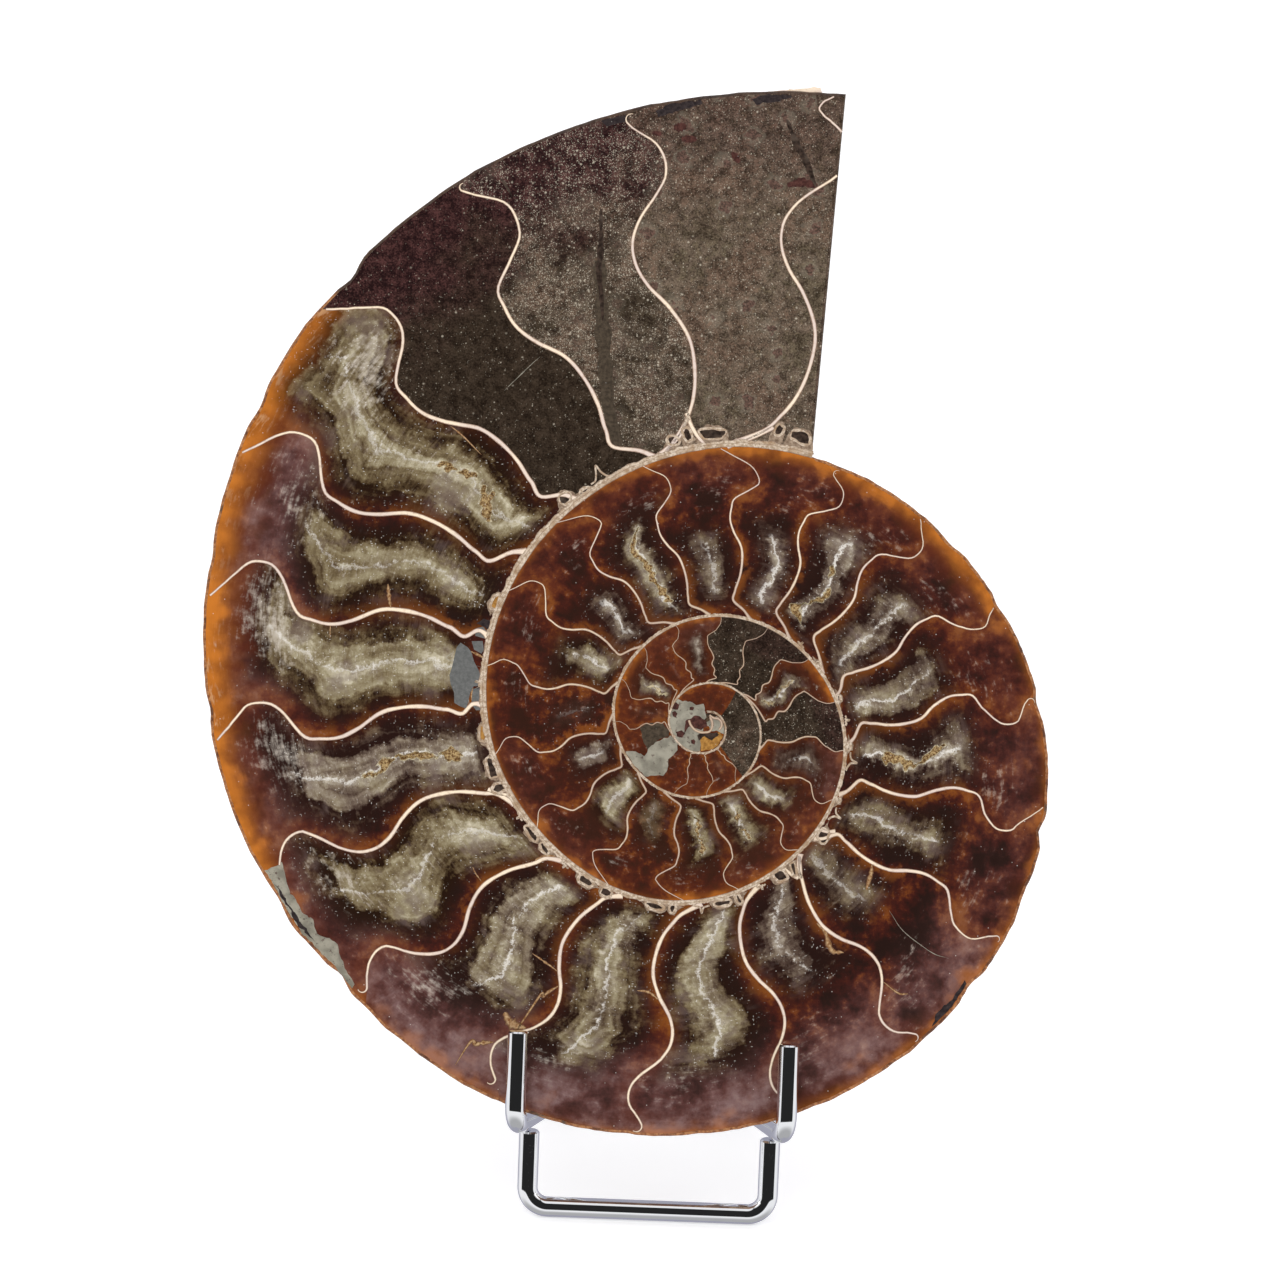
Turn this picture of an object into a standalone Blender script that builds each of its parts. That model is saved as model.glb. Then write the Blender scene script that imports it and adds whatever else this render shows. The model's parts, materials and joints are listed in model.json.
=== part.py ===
"""Half of a sawn and polished ammonite, leaning back in a stand of bent chromed wire.

Metres, +Z up. The sawn face looks towards -Y and leans back from the vertical.
"""

import math

import bmesh
import bpy
import numpy as np
from mathutils import Matrix, Vector

MM = 0.001
TOUCHING_GAP = 0.3 * MM

# The coil on the sawn face, about its pole. Its outer wall winds inwards and anticlockwise
# from the top corner of the mouth, with one radius every WALL_STEP degrees.
WALL_STEP = 45.0
WALL_RADII = np.array([
    101.2, 91.6, 80.4, 71.0, 65.7, 60.6, 55.2, 48.6,
    44.3, 40.1, 35.5, 31.4, 28.9, 25.5, 22.8, 19.5,
    17.4, 15.7, 14.5, 12.9, 11.8, 10.5, 9.1, 7.7,
    6.6, 5.9, 5.4, 4.8, 4.4, 4.0, 3.2, 2.4,
]) * MM
MOUTH_CORNER_ANGLE = 79.5
JUNCTION_ANGLE = 70.2
WHORLS = 4

# The shell's own outside, behind the sawn face.
UMBILICUS_SHARE = 0.21
HALF_THICKNESS_SHARE = 0.178
RIM_THICKNESS = 1.2 * MM
VENTER_SHARPNESS = 2.2
VENTER_ROUNDNESS = 0.62
UMBILICAL_WALL_STEEPNESS = 9.0
MOUTH_COLUMNS = 9
COIL_COLUMN_STEP = 4.0
RING_SHARES = (0.04, 0.09, 0.13, 0.17, 0.205, 0.24, 0.29, 0.36, 0.44,
               0.52, 0.6, 0.68, 0.76, 0.83, 0.89, 0.94, 0.975, 1.0)

# How the fossil stands.
LEAN_BACK = math.radians(10.0)
POLE_ACROSS = 6.0 * MM
POLE_ABOVE_LEDGE = 63.4 * MM
FACE_BEHIND_HOOKS = 2.8 * MM

# The wire stand. Y = 0 is the plane of the hooks.
WIRE_RADIUS = 1.6 * MM
WIRE_BEND_RADIUS = 3.2 * MM
WIRE_BEVEL_RESOLUTION = 4
BEND_STEPS = 5
HOOK_HALF_SPAN = 21.2 * MM
HOOK_LEAN = math.radians(8.0)
LEFT_HOOK_RISE = 14.9 * MM
RIGHT_HOOK_RISE = 14.4 * MM
LEDGE_HEIGHT = 16.6 * MM
LEDGE_FALL = math.radians(5.5)
LEDGE_DEPTH = 25.0 * MM
BACKREST_HALF_SPAN = 15.4 * MM
BACKREST_TOP = 61.0 * MM
BACKREST_SETBACK = 25.4 * MM
FOOT_HALF_SPAN = 19.0 * MM
FOOT_SETBACK = 7.5 * MM
REAR_FOOT_SETBACK = 70.0 * MM
REAR_FOOT_HALF_SPAN = 15.0 * MM
REAR_LEG_TOP_HALF_SPAN = 10.0 * MM

FOSSIL_COLOUR = (0.20, 0.085, 0.035, 1.0)
CHROME_COLOUR = (0.80, 0.81, 0.83, 1.0)


def clear_scene():
    for old in list(bpy.data.objects):
        bpy.data.objects.remove(old, do_unlink=True)


def new_material(name, colour, metallic, roughness):
    material = bpy.data.materials.new(name)
    material.use_nodes = True
    shader = material.node_tree.nodes["Principled BSDF"]
    shader.inputs["Base Color"].default_value = colour
    shader.inputs["Metallic"].default_value = metallic
    shader.inputs["Roughness"].default_value = roughness
    return material


def new_object(name, data, collection, material):
    made = bpy.data.objects.new(name, data)
    data.materials.append(material)
    collection.objects.link(made)
    return made


def wall_radius(turned):
    """Radius of the coil's wall, turned degrees inwards from the mouth's top corner."""
    knots = np.log(WALL_RADII)
    last = len(knots) - 1
    place = min(turned / WALL_STEP, float(last))
    first = max(0, min(int(math.floor(place)), last - 1))
    share = place - first
    start, end = knots[first], knots[first + 1]
    before = knots[first - 1] if first > 0 else 2 * start - end
    after = knots[first + 2] if first + 2 <= last else 2 * end - start
    rise_in = (end - before) / 2
    rise_out = (after - start) / 2
    blend = share * share * (3 - 2 * share)
    bend_in = share * (1 - share) ** 2
    bend_out = share * share * (share - 1)
    return math.exp(start + blend * (end - start) + bend_in * rise_in + bend_out * rise_out)


def on_face(radius, angle):
    return Vector((radius * math.cos(math.radians(angle)), radius * math.sin(math.radians(angle))))


def outline_columns():
    """Points of the fossil's outline, anticlockwise from the inner end of the sawn mouth."""
    corner = on_face(wall_radius(0.0), MOUTH_CORNER_ANGLE)
    end_turned = JUNCTION_ANGLE + 360 - MOUTH_CORNER_ANGLE
    junction = on_face(wall_radius(end_turned), JUNCTION_ANGLE)
    mouth = [junction.lerp(corner, step / MOUTH_COLUMNS) for step in range(MOUTH_COLUMNS)]
    steps = round(end_turned / COIL_COLUMN_STEP)
    turns = [end_turned * step / steps for step in range(steps)]
    coil = [on_face(wall_radius(turned), MOUTH_CORNER_ANGLE + turned) for turned in turns]
    return mouth + coil


def whorl_depth(radius, turned):
    """Half thickness of one whorl at this radius, with a rounded venter and a steep inner wall."""
    outer = wall_radius(turned)
    inner = UMBILICUS_SHARE * outer
    across = (radius - inner) / (outer - inner)
    if not 0 < across < 1:
        return 0.0
    flank = (1 - across ** VENTER_SHARPNESS) ** VENTER_ROUNDNESS
    inner_wall = math.sqrt(1 - (1 - across) ** UMBILICAL_WALL_STEEPNESS)
    return HALF_THICKNESS_SHARE * outer * flank * inner_wall


def back_depth(point, first_turned):
    """Depth of the fossil's outside behind the sawn face: the outermost whorl there shows."""
    radius = point.length
    whorls = [whorl_depth(radius, first_turned + 360 * turn) for turn in range(WHORLS)]
    return RIM_THICKNESS + max(whorls)


def turned_from_mouth(point, column):
    angle = math.degrees(math.atan2(point.y, point.x)) % 360
    turned = angle - MOUTH_CORNER_ANGLE
    if column == 0 or turned < JUNCTION_ANGLE - MOUTH_CORNER_ANGLE:
        turned += 360
    return turned


def fossil_mesh():
    """A flat sawn face, a sawn mouth and the coiled outside of the shell behind them."""
    outline = outline_columns()
    count = len(outline)
    shape = bmesh.new()
    face_ring = [shape.verts.new((point.x, point.y, 0)) for point in outline]
    rings = [face_ring]
    for share in reversed(RING_SHARES):
        ring = []
        for column, rim in enumerate(outline):
            point = rim * share
            depth = back_depth(point, turned_from_mouth(rim, column))
            ring.append(shape.verts.new((point.x, point.y, -depth)))
        rings.append(ring)
    shape.faces.new(face_ring)
    for outer, inner in zip(rings, rings[1:]):
        for column in range(count):
            after = (column + 1) % count
            shape.faces.new((outer[column], inner[column], inner[after], outer[after]))
    shape.faces.new(list(reversed(rings[-1])))
    bmesh.ops.triangulate(shape, faces=[face for face in shape.faces if len(face.verts) == 4])
    bmesh.ops.recalc_face_normals(shape, faces=shape.faces)
    mesh = bpy.data.meshes.new("ammonite_half")
    shape.to_mesh(mesh)
    shape.free()
    mesh.shade_smooth()
    mesh.set_sharp_from_angle(angle=math.radians(40))
    return mesh


def ledge_point(side, depth):
    """Centre of the wire on a ledge, this far behind the hooks."""
    inwards = (HOOK_HALF_SPAN - BACKREST_HALF_SPAN) * depth / LEDGE_DEPTH
    return Vector((side * (HOOK_HALF_SPAN - inwards), depth,
                   LEDGE_HEIGHT - depth * math.tan(LEDGE_FALL)))


def rounded(corners, bend_radius):
    """The path through these corners, with every inner corner bent to an arc."""
    path = [corners[0]]
    for before, corner, after in zip(corners, corners[1:], corners[2:]):
        back = (before - corner).normalized()
        ahead = (after - corner).normalized()
        half_angle = back.angle(ahead) / 2
        centre = corner + (back + ahead).normalized() * bend_radius / math.sin(half_angle)
        reach = bend_radius / math.tan(half_angle)
        start = (corner + back * reach - centre).normalized()
        end = (corner + ahead * reach - centre).normalized()
        for step in range(BEND_STEPS + 1):
            path.append(centre + start.slerp(end, step / BEND_STEPS) * bend_radius)
    return path + [corners[-1]]


def wire(name, corners, collection, material):
    path = rounded(corners, WIRE_BEND_RADIUS)
    curve = bpy.data.curves.new(name, "CURVE")
    curve.dimensions = "3D"
    curve.bevel_depth = WIRE_RADIUS
    curve.bevel_resolution = WIRE_BEVEL_RESOLUTION
    curve.use_fill_caps = True
    spline = curve.splines.new("POLY")
    spline.points.add(len(path) - 1)
    for point, place in zip(spline.points, path):
        point.co = (*place, 1.0)
    spline.use_smooth = True
    return new_object(name, curve, collection, material)


def hook_top(side, rise):
    return ledge_point(side, 0) + Vector((0, rise * math.sin(HOOK_LEAN), rise * math.cos(HOOK_LEAN)))


def backrest_corner(side):
    return Vector((side * BACKREST_HALF_SPAN, BACKREST_SETBACK, BACKREST_TOP))


def make_cradle_wire(collection, material):
    """One wire: hook, ledge, backrest loop, ledge, hook."""
    corners = [
        hook_top(-1, LEFT_HOOK_RISE), ledge_point(-1, 0), ledge_point(-1, LEDGE_DEPTH),
        backrest_corner(-1), backrest_corner(1),
        ledge_point(1, LEDGE_DEPTH), ledge_point(1, 0), hook_top(1, RIGHT_HOOK_RISE),
    ]
    return wire("cradle_wire", corners, collection, material)


def make_front_foot(collection, material):
    """The U whose two ends are welded to the ledges from below."""
    drop = WIRE_RADIUS + TOUCHING_GAP
    under_ledge = ledge_point(1, FOOT_SETBACK).z - drop
    corners = [Vector((-FOOT_HALF_SPAN, FOOT_SETBACK, under_ledge)),
               Vector((-FOOT_HALF_SPAN, FOOT_SETBACK, WIRE_RADIUS)),
               Vector((FOOT_HALF_SPAN, FOOT_SETBACK, WIRE_RADIUS)),
               Vector((FOOT_HALF_SPAN, FOOT_SETBACK, under_ledge))]
    return wire("front_foot", corners, collection, material)


def make_rear_leg(collection, material):
    """The narrow prop, welded to the backrest's crossbar and standing behind the fossil."""
    corners = []
    for side in (-1, 1):
        crossbar = Vector((side * REAR_LEG_TOP_HALF_SPAN, BACKREST_SETBACK, BACKREST_TOP))
        foot = Vector((side * REAR_FOOT_HALF_SPAN, REAR_FOOT_SETBACK, WIRE_RADIUS))
        down = (foot - crossbar).normalized()
        top = crossbar + down * (WIRE_RADIUS + TOUCHING_GAP)
        corners += [top, foot] if side < 0 else [foot, top]
    return wire("rear_leg", corners, collection, material)


def make_ammonite_half(collection, material):
    fossil = new_object("ammonite_half", fossil_mesh(), collection, material)
    up_the_face = Vector((0, math.sin(LEAN_BACK), math.cos(LEAN_BACK)))
    foot_of_face = Vector((POLE_ACROSS, FACE_BEHIND_HOOKS, LEDGE_HEIGHT))
    pole = foot_of_face + up_the_face * POLE_ABOVE_LEDGE
    upright = Matrix.Rotation(math.pi / 2 - LEAN_BACK, 4, "X")
    fossil.matrix_world = Matrix.Translation(pole) @ upright
    return fossil


def box_of(objects):
    graph = bpy.context.evaluated_depsgraph_get()
    corners = []
    for thing in objects:
        evaluated = thing.evaluated_get(graph)
        mesh = evaluated.to_mesh()
        corners += [evaluated.matrix_world @ vertex.co for vertex in mesh.vertices]
        evaluated.to_mesh_clear()
    points = np.array([tuple(corner) for corner in corners])
    return points.min(axis=0), points.max(axis=0)


def stand_on_origin(objects):
    """Move the whole object so that the origin is at the middle of its box, on the table."""
    bpy.context.view_layer.update()
    low, high = box_of(objects)
    middle = Vector(((low[0] + high[0]) / 2, (low[1] + high[1]) / 2, low[2]))
    for thing in objects:
        thing.matrix_world = Matrix.Translation(-middle) @ thing.matrix_world


def main():
    clear_scene()
    collection = bpy.data.collections.new("ammonite_on_stand")
    bpy.context.scene.collection.children.link(collection)
    stone = new_material("polished_fossil", FOSSIL_COLOUR, 0.0, 0.18)
    chrome = new_material("chromed_wire", CHROME_COLOUR, 1.0, 0.06)
    stand_on_origin([
        make_ammonite_half(collection, stone),
        make_cradle_wire(collection, chrome),
        make_front_foot(collection, chrome),
        make_rear_leg(collection, chrome),
    ])


main()
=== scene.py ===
"""Looks of a sawn and polished ammonite half on its stand of chromed wire."""

import json
import math
from collections import namedtuple
from types import SimpleNamespace

import bpy
import numpy as np
from mathutils import Matrix, Vector, noise


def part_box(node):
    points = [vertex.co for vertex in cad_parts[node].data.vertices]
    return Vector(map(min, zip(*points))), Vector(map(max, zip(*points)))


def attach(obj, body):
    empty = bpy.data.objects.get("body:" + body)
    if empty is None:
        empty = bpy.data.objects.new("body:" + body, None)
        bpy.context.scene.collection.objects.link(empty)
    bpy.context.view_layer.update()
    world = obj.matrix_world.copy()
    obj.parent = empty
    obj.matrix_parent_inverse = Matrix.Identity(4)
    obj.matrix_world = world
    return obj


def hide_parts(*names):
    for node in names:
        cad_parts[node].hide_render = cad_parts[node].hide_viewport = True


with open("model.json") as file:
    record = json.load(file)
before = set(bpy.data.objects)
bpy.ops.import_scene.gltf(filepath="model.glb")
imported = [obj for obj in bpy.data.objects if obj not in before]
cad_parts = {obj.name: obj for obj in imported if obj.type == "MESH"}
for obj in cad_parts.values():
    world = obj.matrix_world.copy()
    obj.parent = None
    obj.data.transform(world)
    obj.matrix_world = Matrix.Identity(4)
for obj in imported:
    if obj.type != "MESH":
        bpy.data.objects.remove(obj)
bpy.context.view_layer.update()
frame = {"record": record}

MM = 0.001

# The coil on the sawn face, about its pole. Its outer wall winds inwards and anticlockwise
# from the top corner of the mouth, with one radius every WALL_STEP degrees.
WALL_STEP = 45.0
WALL_RADII = np.array([
    101.2, 91.6, 80.4, 71.0, 65.7, 60.6, 55.2, 48.6,
    44.3, 40.1, 35.5, 31.4, 28.9, 25.5, 22.8, 19.5,
    17.4, 15.7, 14.5, 12.9, 11.8, 10.5, 9.1, 7.7,
    6.6, 5.9, 5.4, 4.8, 4.4, 4.0, 3.2, 2.4,
])
LAST_TURNED = WALL_STEP * (len(WALL_RADII) - 1)
# Past the last radius the wall closes in at this steady rate.
CENTRE_SHRINK = 0.35
# Where the two ends of the sawn mouth lie, as angles on the face about the pole.
MOUTH_CORNER_ANGLE = 79.5
JUNCTION_ANGLE = 70.2
JUNCTION_TURNED = JUNCTION_ANGLE + 360 - MOUTH_CORNER_ANGLE
WHORLS = 4
# How far the wall lies outside its own curve, and how wide the saw cut it, at places along the coil.
SHIFT_PLACES = (350, 366, 382, 400, 430, 470, 500, 600, 660, 1100, 1180)
WALL_SHIFTS = (.35, .6, .25, -.15, -.15, .05, -.2, -.3, 0, 0, .25)
WIDTH_PLACES = (350, 430, 500, 560, 640, 800, 1000, 1400)
WALL_WIDTHS = (1.15, 1.1, 1, .75, .6, .48, .36, .34)
WALL_SPACING = 0.5
# Chips and worn places of the rim: place along it, half width and depth.
NICKS = [(51, 1.4, .9), (53.5, 2.5, .5), (67, 1.6, .5), (84, 1.5, .4), (101, 1.4, .4), (124, 5, .5),
         (134, 3, .8), (137.5, 2, 1.1), (142, 3, .7), (150, 5, .4), (286, 2.4, .5), (265, 1.8, .6),
         (255, 3, .4), (238, 2.5, .6), (304, 2, .3), (320, 3, .3)]
# How uneven the rim and the wall are: how fast, by which chance and how much.
RIM_WEAR = ((.3, 3.1, .22), (1.4, 8.2, .1))
WALL_ROUGHNESS = ((.5, 1.3, .16), (1.7, 4.7, .13))

# The shell's own outside, behind the sawn face.
UMBILICUS_SHARE = 0.21
HALF_THICKNESS_SHARE = 0.178
RIM_THICKNESS = 1.2
VENTER_SHARPNESS = 2.2
VENTER_ROUNDNESS = 0.62
UMBILICAL_WALL_STEEPNESS = 9.0
RIB_HEIGHT = 0.16
RIB_STEP = 7.0
RIB_SWEEP = (260, 60)
OUTLINE_STEP = 0.8
MOUTH_STEPS = 42
SIDE_ROWS = 9
# Rings of the outside as shares of the outline's radius, from the rim to the middle.
BACK_RINGS = np.concatenate([
    1 - np.linspace(.008, .16, 16), np.linspace(.825, .26, 26), np.linspace(.245, .19, 10),
    np.linspace(.175, .105, 8), np.linspace(.1, .03, 10)])
# Finishes of the body in their order, and those that each kind of ring has at the mouth and elsewhere.
OUTSIDE, RIM, MOUTH, SEDIMENT_EDGE = range(4)
RING_FINISHES = {"lip": (SEDIMENT_EDGE, RIM), "side": (MOUTH, RIM), "outside": (OUTSIDE, OUTSIDE)}

# The bends of a septum, from the whorl's inner wall (0) to its outer wall (1), in degrees.
BEND_SHARES = np.array([0, .06, .12, .2, .3, .4, .5, .58, .65, .71, .76, .8, .84, .88, .92, .96, 1])
OPEN = np.array([5.6, 1.4, 0, -1.4, -2, -1.6, .4, 2.6, 3.5, 3.2, 1.9, .2, -1, -1.5, -1.2, .1, .9])
CLOSED = np.array([
    -9.8, -6.3, -1.6, -1, -1.3, -.9, .4, 2.8, 4.1, 4.2, 3.8, 1.5, -.3, -.4, .4, 2.7, 4.7])
YOUNG = np.array([
    9.2, 3.5, -4.9, -3.6, -3.3, -.5, -.8, .9, 2.9, 4, 4.3, 4.3, 1.9, -.2, -2.1, -3.3, -4])
STRAIGHT = np.zeros(len(BEND_SHARES))
# Swing scales the bends, slide moves them along, lean tilts the whole septum, foot and tip turn its
# ends, reach is where it ends and curl is the size of the hook there.
Septum = namedtuple("Septum", "turned bends swing slide lean foot tip reach curl",
                    defaults=(1, 0, 0, 0, 0, .995, 0))
SEPTA = {number: Septum(*row) for number, row in enumerate([
    (-1, OPEN, 1.25, .04, 1.7, 3.4, 0),
    (16.9, OPEN, 1.1, .02, 2.7, 1.5, 1.4, .98, .7),
    (33, CLOSED, 1.15, -.01, 2.2, 2, -1.7, .985, .5),
    (49.9, CLOSED, 1.15, -.01, 1.8, 4.6, -.9),
    (66.9, CLOSED, 1.05, .01, .8, 2.3, .3),
    (83, CLOSED, 1.15, 0, 0, 9, 0),
    (100.5, CLOSED, 1.05, -.01, 0, 7.7, -.6),
    (119.6, OPEN, 1.2, .02, -2.2, -1.6, 3.8, .955),
    (140.6, OPEN, 1.25, .02, -5.3, -3.3, 3.2, .965, .6),
    (161.5, OPEN, 1.1, -.01, -1.5, -.8, 2.3, .95, .6),
    (183, OPEN, 1.15, .01, -.9, 2.6, .9, .975, .7),
    (204.4, OPEN, 1, 0, .9, 2.7, .2),
    (225, OPEN, 1.1, .03, -.6, -2, 2, .98, .5),
    (244.2, CLOSED, 1.05, -.01, .4, 2.6, -1.8, .98, .4),
    (263.8, CLOSED, 1.15, 0, -.7, 1.8, .3),
    (283.9, CLOSED, 1.3, .02, -1, 2.5, -1.4, .98, .5),
    (303.1, CLOSED, 1.1, .03, .9, 2.4, -4),
    (322.3, CLOSED, 1.2, .03, -1, -6, -1),
    (341.4, CLOSED, 1.2, .03, 0, -2.4, 0, .97, .5),
    (360.5, CLOSED, 1.25, .03, -1.2, 0, 3.9),
    (381.1, CLOSED, 1.1, .01, .5, -.7, 0),
    (401.6, CLOSED, 1.5, .02, -3.8, 0, 3.8),
    (423.7, CLOSED, 1.35, -.01, -3.1, -.6, 1.1),
    (446.1, CLOSED, 1.05, -.03, -1.8, 0, -2),
    (468.3, CLOSED, 1.2, -.02, -3.3, -1.8, -.7),
    (490.9, CLOSED, 1.35, -.03, -1.1, 0, -1.1),
    (513, CLOSED, 1.35, -.02, -1.8, -1.7, 5.5),
    (537.2, CLOSED, 1.2, -.03, -3.7, -5.8, 7.5),
    (560.5, CLOSED, 1.05, -.02, .2, -4.3, 0),
    (585.3, CLOSED, 1.2, 0, 2, -3.9, -1.1),
    (608.5, CLOSED, 1.2, 0, 1, -5.4, -1.2),
    (631.1, CLOSED, .95, -.01, 4.1, -1.8, -5.4),
    (653.1, YOUNG, 1.6, -.04, 2, 11.4, 4.8),
    (676.6, YOUNG, 1.5, -.01, -2, -11.6, 5.1),
    (699.9, YOUNG, 1.25, -.03, 1.8, 2.9, 3.5),
    (725.4, YOUNG, 1.4, -.01, -4.3, -10.8, 6.3),
    (750.6, YOUNG, 1.6, .01, -10, 8, 10),
    (775.5, YOUNG, 1.4, .02, -10, 8, 6),
    (798.1, YOUNG, 1.4, .01, -4.9, 0, 4.1),
    (823.9, YOUNG, 1.5, .05, -12, 4, 10),
    (893, YOUNG, 1, 0, -3, 2, 2),
    (918, YOUNG, 1, 0, -3, 2, 2),
    (945, YOUNG, 1, 0, -3, 2, 2),
    (949, STRAIGHT),
    (1037, STRAIGHT, 1, 0, 24),
    (1125, STRAIGHT, 1, 0, 28),
    (1264, STRAIGHT),
    (1335, STRAIGHT),
    (LAST_TURNED, STRAIGHT),
], start=1)}
LAST_SEPTUM = 43
SEPTUM_START = 0.005
SEPTUM_STEPS = 90
CURL_STEPS = 10
CURL_TURN = math.radians(15)
CURL_STEP = 0.32
FIRST_SEPTUM_REACH = 0.86
# Width of the septa at places along the coil.
SEPTUM_PLACES = (0, 60, 250, 330, 400, 640, 700, 950)
SEPTUM_WIDTHS = (.6, .68, .58, .42, .36, .3, .2, .16)
YOUNGER_SEPTA = 225

# What fills each chamber, named by the septum on its mouth side. A calcite chamber has a pale
# core: start and end are shares of the way out, side is its place between the two septa, wide
# its half width there, and the rest are strengths from 0 to 1.
Filling = namedtuple(
    "Filling", "milk olive amber gloom haze bloom start end side wide",
    defaults=(.8, .4, .4, .4, .05, .3, .1, .78, .5, .3))
CALCITE = {number: Filling(*row) for number, row in {
    4: (.95, .9, 1, .2, .1, .65, .05, .97, .5, .4),
    5: (.7, .8, .9, .4, .9, .45, .06, .8, .5, .33),
    6: (.95, .8, 1, .1, .3, .75, .12, .86, .47, .38),
    7: (.75, .3, .8, .3, .3, .6, .06, .84, .5, .36),
    8: (.95, .85, .4, .2, .3, .45, .08, .88, .45, .38),
    9: (.95, .5, .3, .25, .9, .5, .12, .76, .47, .38),
    10: (.9, .6, .2, .2, 1, .3, .06, .82, .47, .32),
    11: (.85, .6, .3, .2, 1, .3, .06, .8, .5, .32),
    12: (.5, .2, .4, .4, .8, .3, .06, .6),
    13: (.35, .4, .4, .55, .6, .3, .05, .5, .5, .25),
    14: (.65, .5, .3, .6, .15, .3, .1, .66, .5, .26),
    15: (.95, .3, .3, .5, .2, .3, .1, .7, .5, .28),
    16: (.75, .4, .3, .35, .1, .3, .1, .66, .45, .32),
    17: (.6, .3, .8, .3, .15, .3, .06, .72, .42, .34),
    18: (.8, .1, .7, .3, .1, .3, .1, .76, .5, .28),
    19: (.65, .1, .6, .5, .1, .3, .14, .66, .45, .22),
    20: (.4, .3, .35, .5, .1, .3, .15, .6, .5, .26),
    21: (.85, .4, .35, .5, .05, .3, .1, .78, .5, .26),
    22: (.7, .2, .35, .5, .05, .3, .08, .56, .5, .24),
    23: (.75, .6, .3, .4, .05, .3, .1, .58),
    24: (.08, .3, .4, .75, 0, .3, .2, .6),
    25: (.45, .1, .4, .6, .1, .3, .1, .5, .45, .24),
    26: (.75, .75, .5, .5, .1, .3, .08, .62, .56, .36),
    27: (.2, .8, .4, .7, 0, .3, .1, .6),
    28: (.85, .7, .7, .5, 0, .3, .1, .72, .5, .24),
    29: (.85, .6, .7, .4, .1, .3, .1, .72, .5, .28),
    30: (.7, .5, .5, .4, .1, .3, .08, .66),
    31: (.35, .1, .2, .8, .3, .3, .3, .8),
    33: (.9, .3, .8, .3, 0, .3, .12, .82),
    36: (.55, 0, .6, .3, .3, .3, .2, .82, .5, .2),
    37: (.05, .4, .3, .1, .1),
    38: (.9, .4, .9, .3, 0, .3, .2, .8, .5, .28),
    39: (.1, .4, .5, .1, 0),
    41: (.05, .4, .5, .1, 0),
    42: (.1, .4, .4, .2, 0),
    40: (.05, .4, .2, .2, 0),
    43: (.05, .4, .5, .2, 0),
    45: (.05, .4, .5, 0, 0),
    47: (.05, .4, .4, .3, 0),
}.items()}
# Sediment fills these: how pale it is, how purple near the rim and how full of pale grains.
SEDIMENT = {0: (1, .45, .3), 2: (.55, .95, .9), 3: (.12, .9, .05), 32: (.15, .4, .2),
            34: (.1, .3, .1), 35: (.18, .1, .1), 44: (.35, 0, .2)}
GREY_GREEN = (46, 48)
# Chambers with a crystal-lined hollow in their core, and where it starts and ends.
PITTED = {4: (.2, .5), 7: (.15, .6), 15: (.2, .62), 18: (.15, .6), 21: (.2, .75), 28: (.25, .7),
          29: (.3, .7), 33: (.2, .75), 38: (.25, .75)}

# Flutes where the shell's folds meet the coil's first inner wall, most of them hollow: place along
# the coil, height of the middle above the wall, length along it and height across it.
Flute = namedtuple("Flute", "turned rise length height")
FLUTES = [Flute(*row) for row in [
    (-6, 2, 3.6, 2.2), (-1.6, 2.6, 1.6, 2.1), (11, 1.8, 4.3, 2.1), (16, 2.3, 1.6, 2.6),
    (18.9, 1.8, 2.2, 1.6), (39.8, .4, 1.8, 1), (44.3, 1.4, 2.3, 2), (72.4, .6, 2.8, 1.6),
    (105.1, .7, 3, 1.4), (114.4, .8, 3.5, 2.1), (120.1, .9, 1.7, 2.8), (135.2, .6, 3, 1.6),
    (140.6, .7, 2.2, 1.3), (155.6, .6, 2.8, 1.7), (162.6, .7, 2.1, 1.6), (177.5, .5, 3.1, 1.4),
    (183, .6, 1.3, 1.6), (198.4, .7, 2.9, 1.3), (203.9, .9, 1.1, 2), (219.3, .8, 2.3, 2.1),
    (224.4, 1.2, 1.1, 2.3), (239.4, 1, 2.4, 2.1), (253, .4, .9, .7), (273.8, .5, 1.5, .8),
    (293.4, .5, 1.3, .8), (310, .5, 1.1, .7),
]]
AMBER_FLUTES = (72.4, 105.1)
# How far the flutes near the mouth are lifted off the wall, and how a flute is shaped.
LIFT_PLACES = (0, 10, 30, 60)
FLUTE_LIFTS = (.6, .5, .1, 0)
FLUTE_STEPS = 30
FLUTE_SQUARENESS = 2.6
FLUTE_LEAN = 0.3
FLUTE_UNEVENNESS = 0.3
# Small spurs of shell on the same wall: place along the coil, width and height.
SPURS = [(35.2, 2.5, 2.4), (92, 1, .8), (129.3, 1, .7), (148, 1, .6), (191.7, 1.7, 1.2), (212, 1, .7),
         (247.7, 1.5, 1.5), (268, 1.9, 1.4), (284, 1, .7), (322, .9, .6)]
SPUR_WIDTHS = (.36, .3)
# Second feet of some septa and the outer end of the first, as paths of places along the coil
# and shares of the way out.
FEET = [[(-.4, .932), (0, .938), (.9, .952), (1.7, .965), (2.1, .977), (1.9, .986), (1.4, .994), (1, .999)],
        [(-.5, .09), (2, .055), (5, .02)], [(15.9, .16), (15.2, .11), (14.3, .07), (12.6, .02)],
        [(15.6, .14), (17.6, .085), (20.6, .02)],
        [(119.5, .1), (121.4, .06), (122.6, .01)], [(224.6, .13), (227, .06), (228.4, .01)],
        [(224.2, .12), (222.6, .06), (221.8, .01)], [(243.4, .1), (241.4, .05), (240.4, .01)]]
FOOT_WIDTH = 0.75
OUTER_END_WIDTH = 0.42
START_CURL_WIDTH = 0.38
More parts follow.
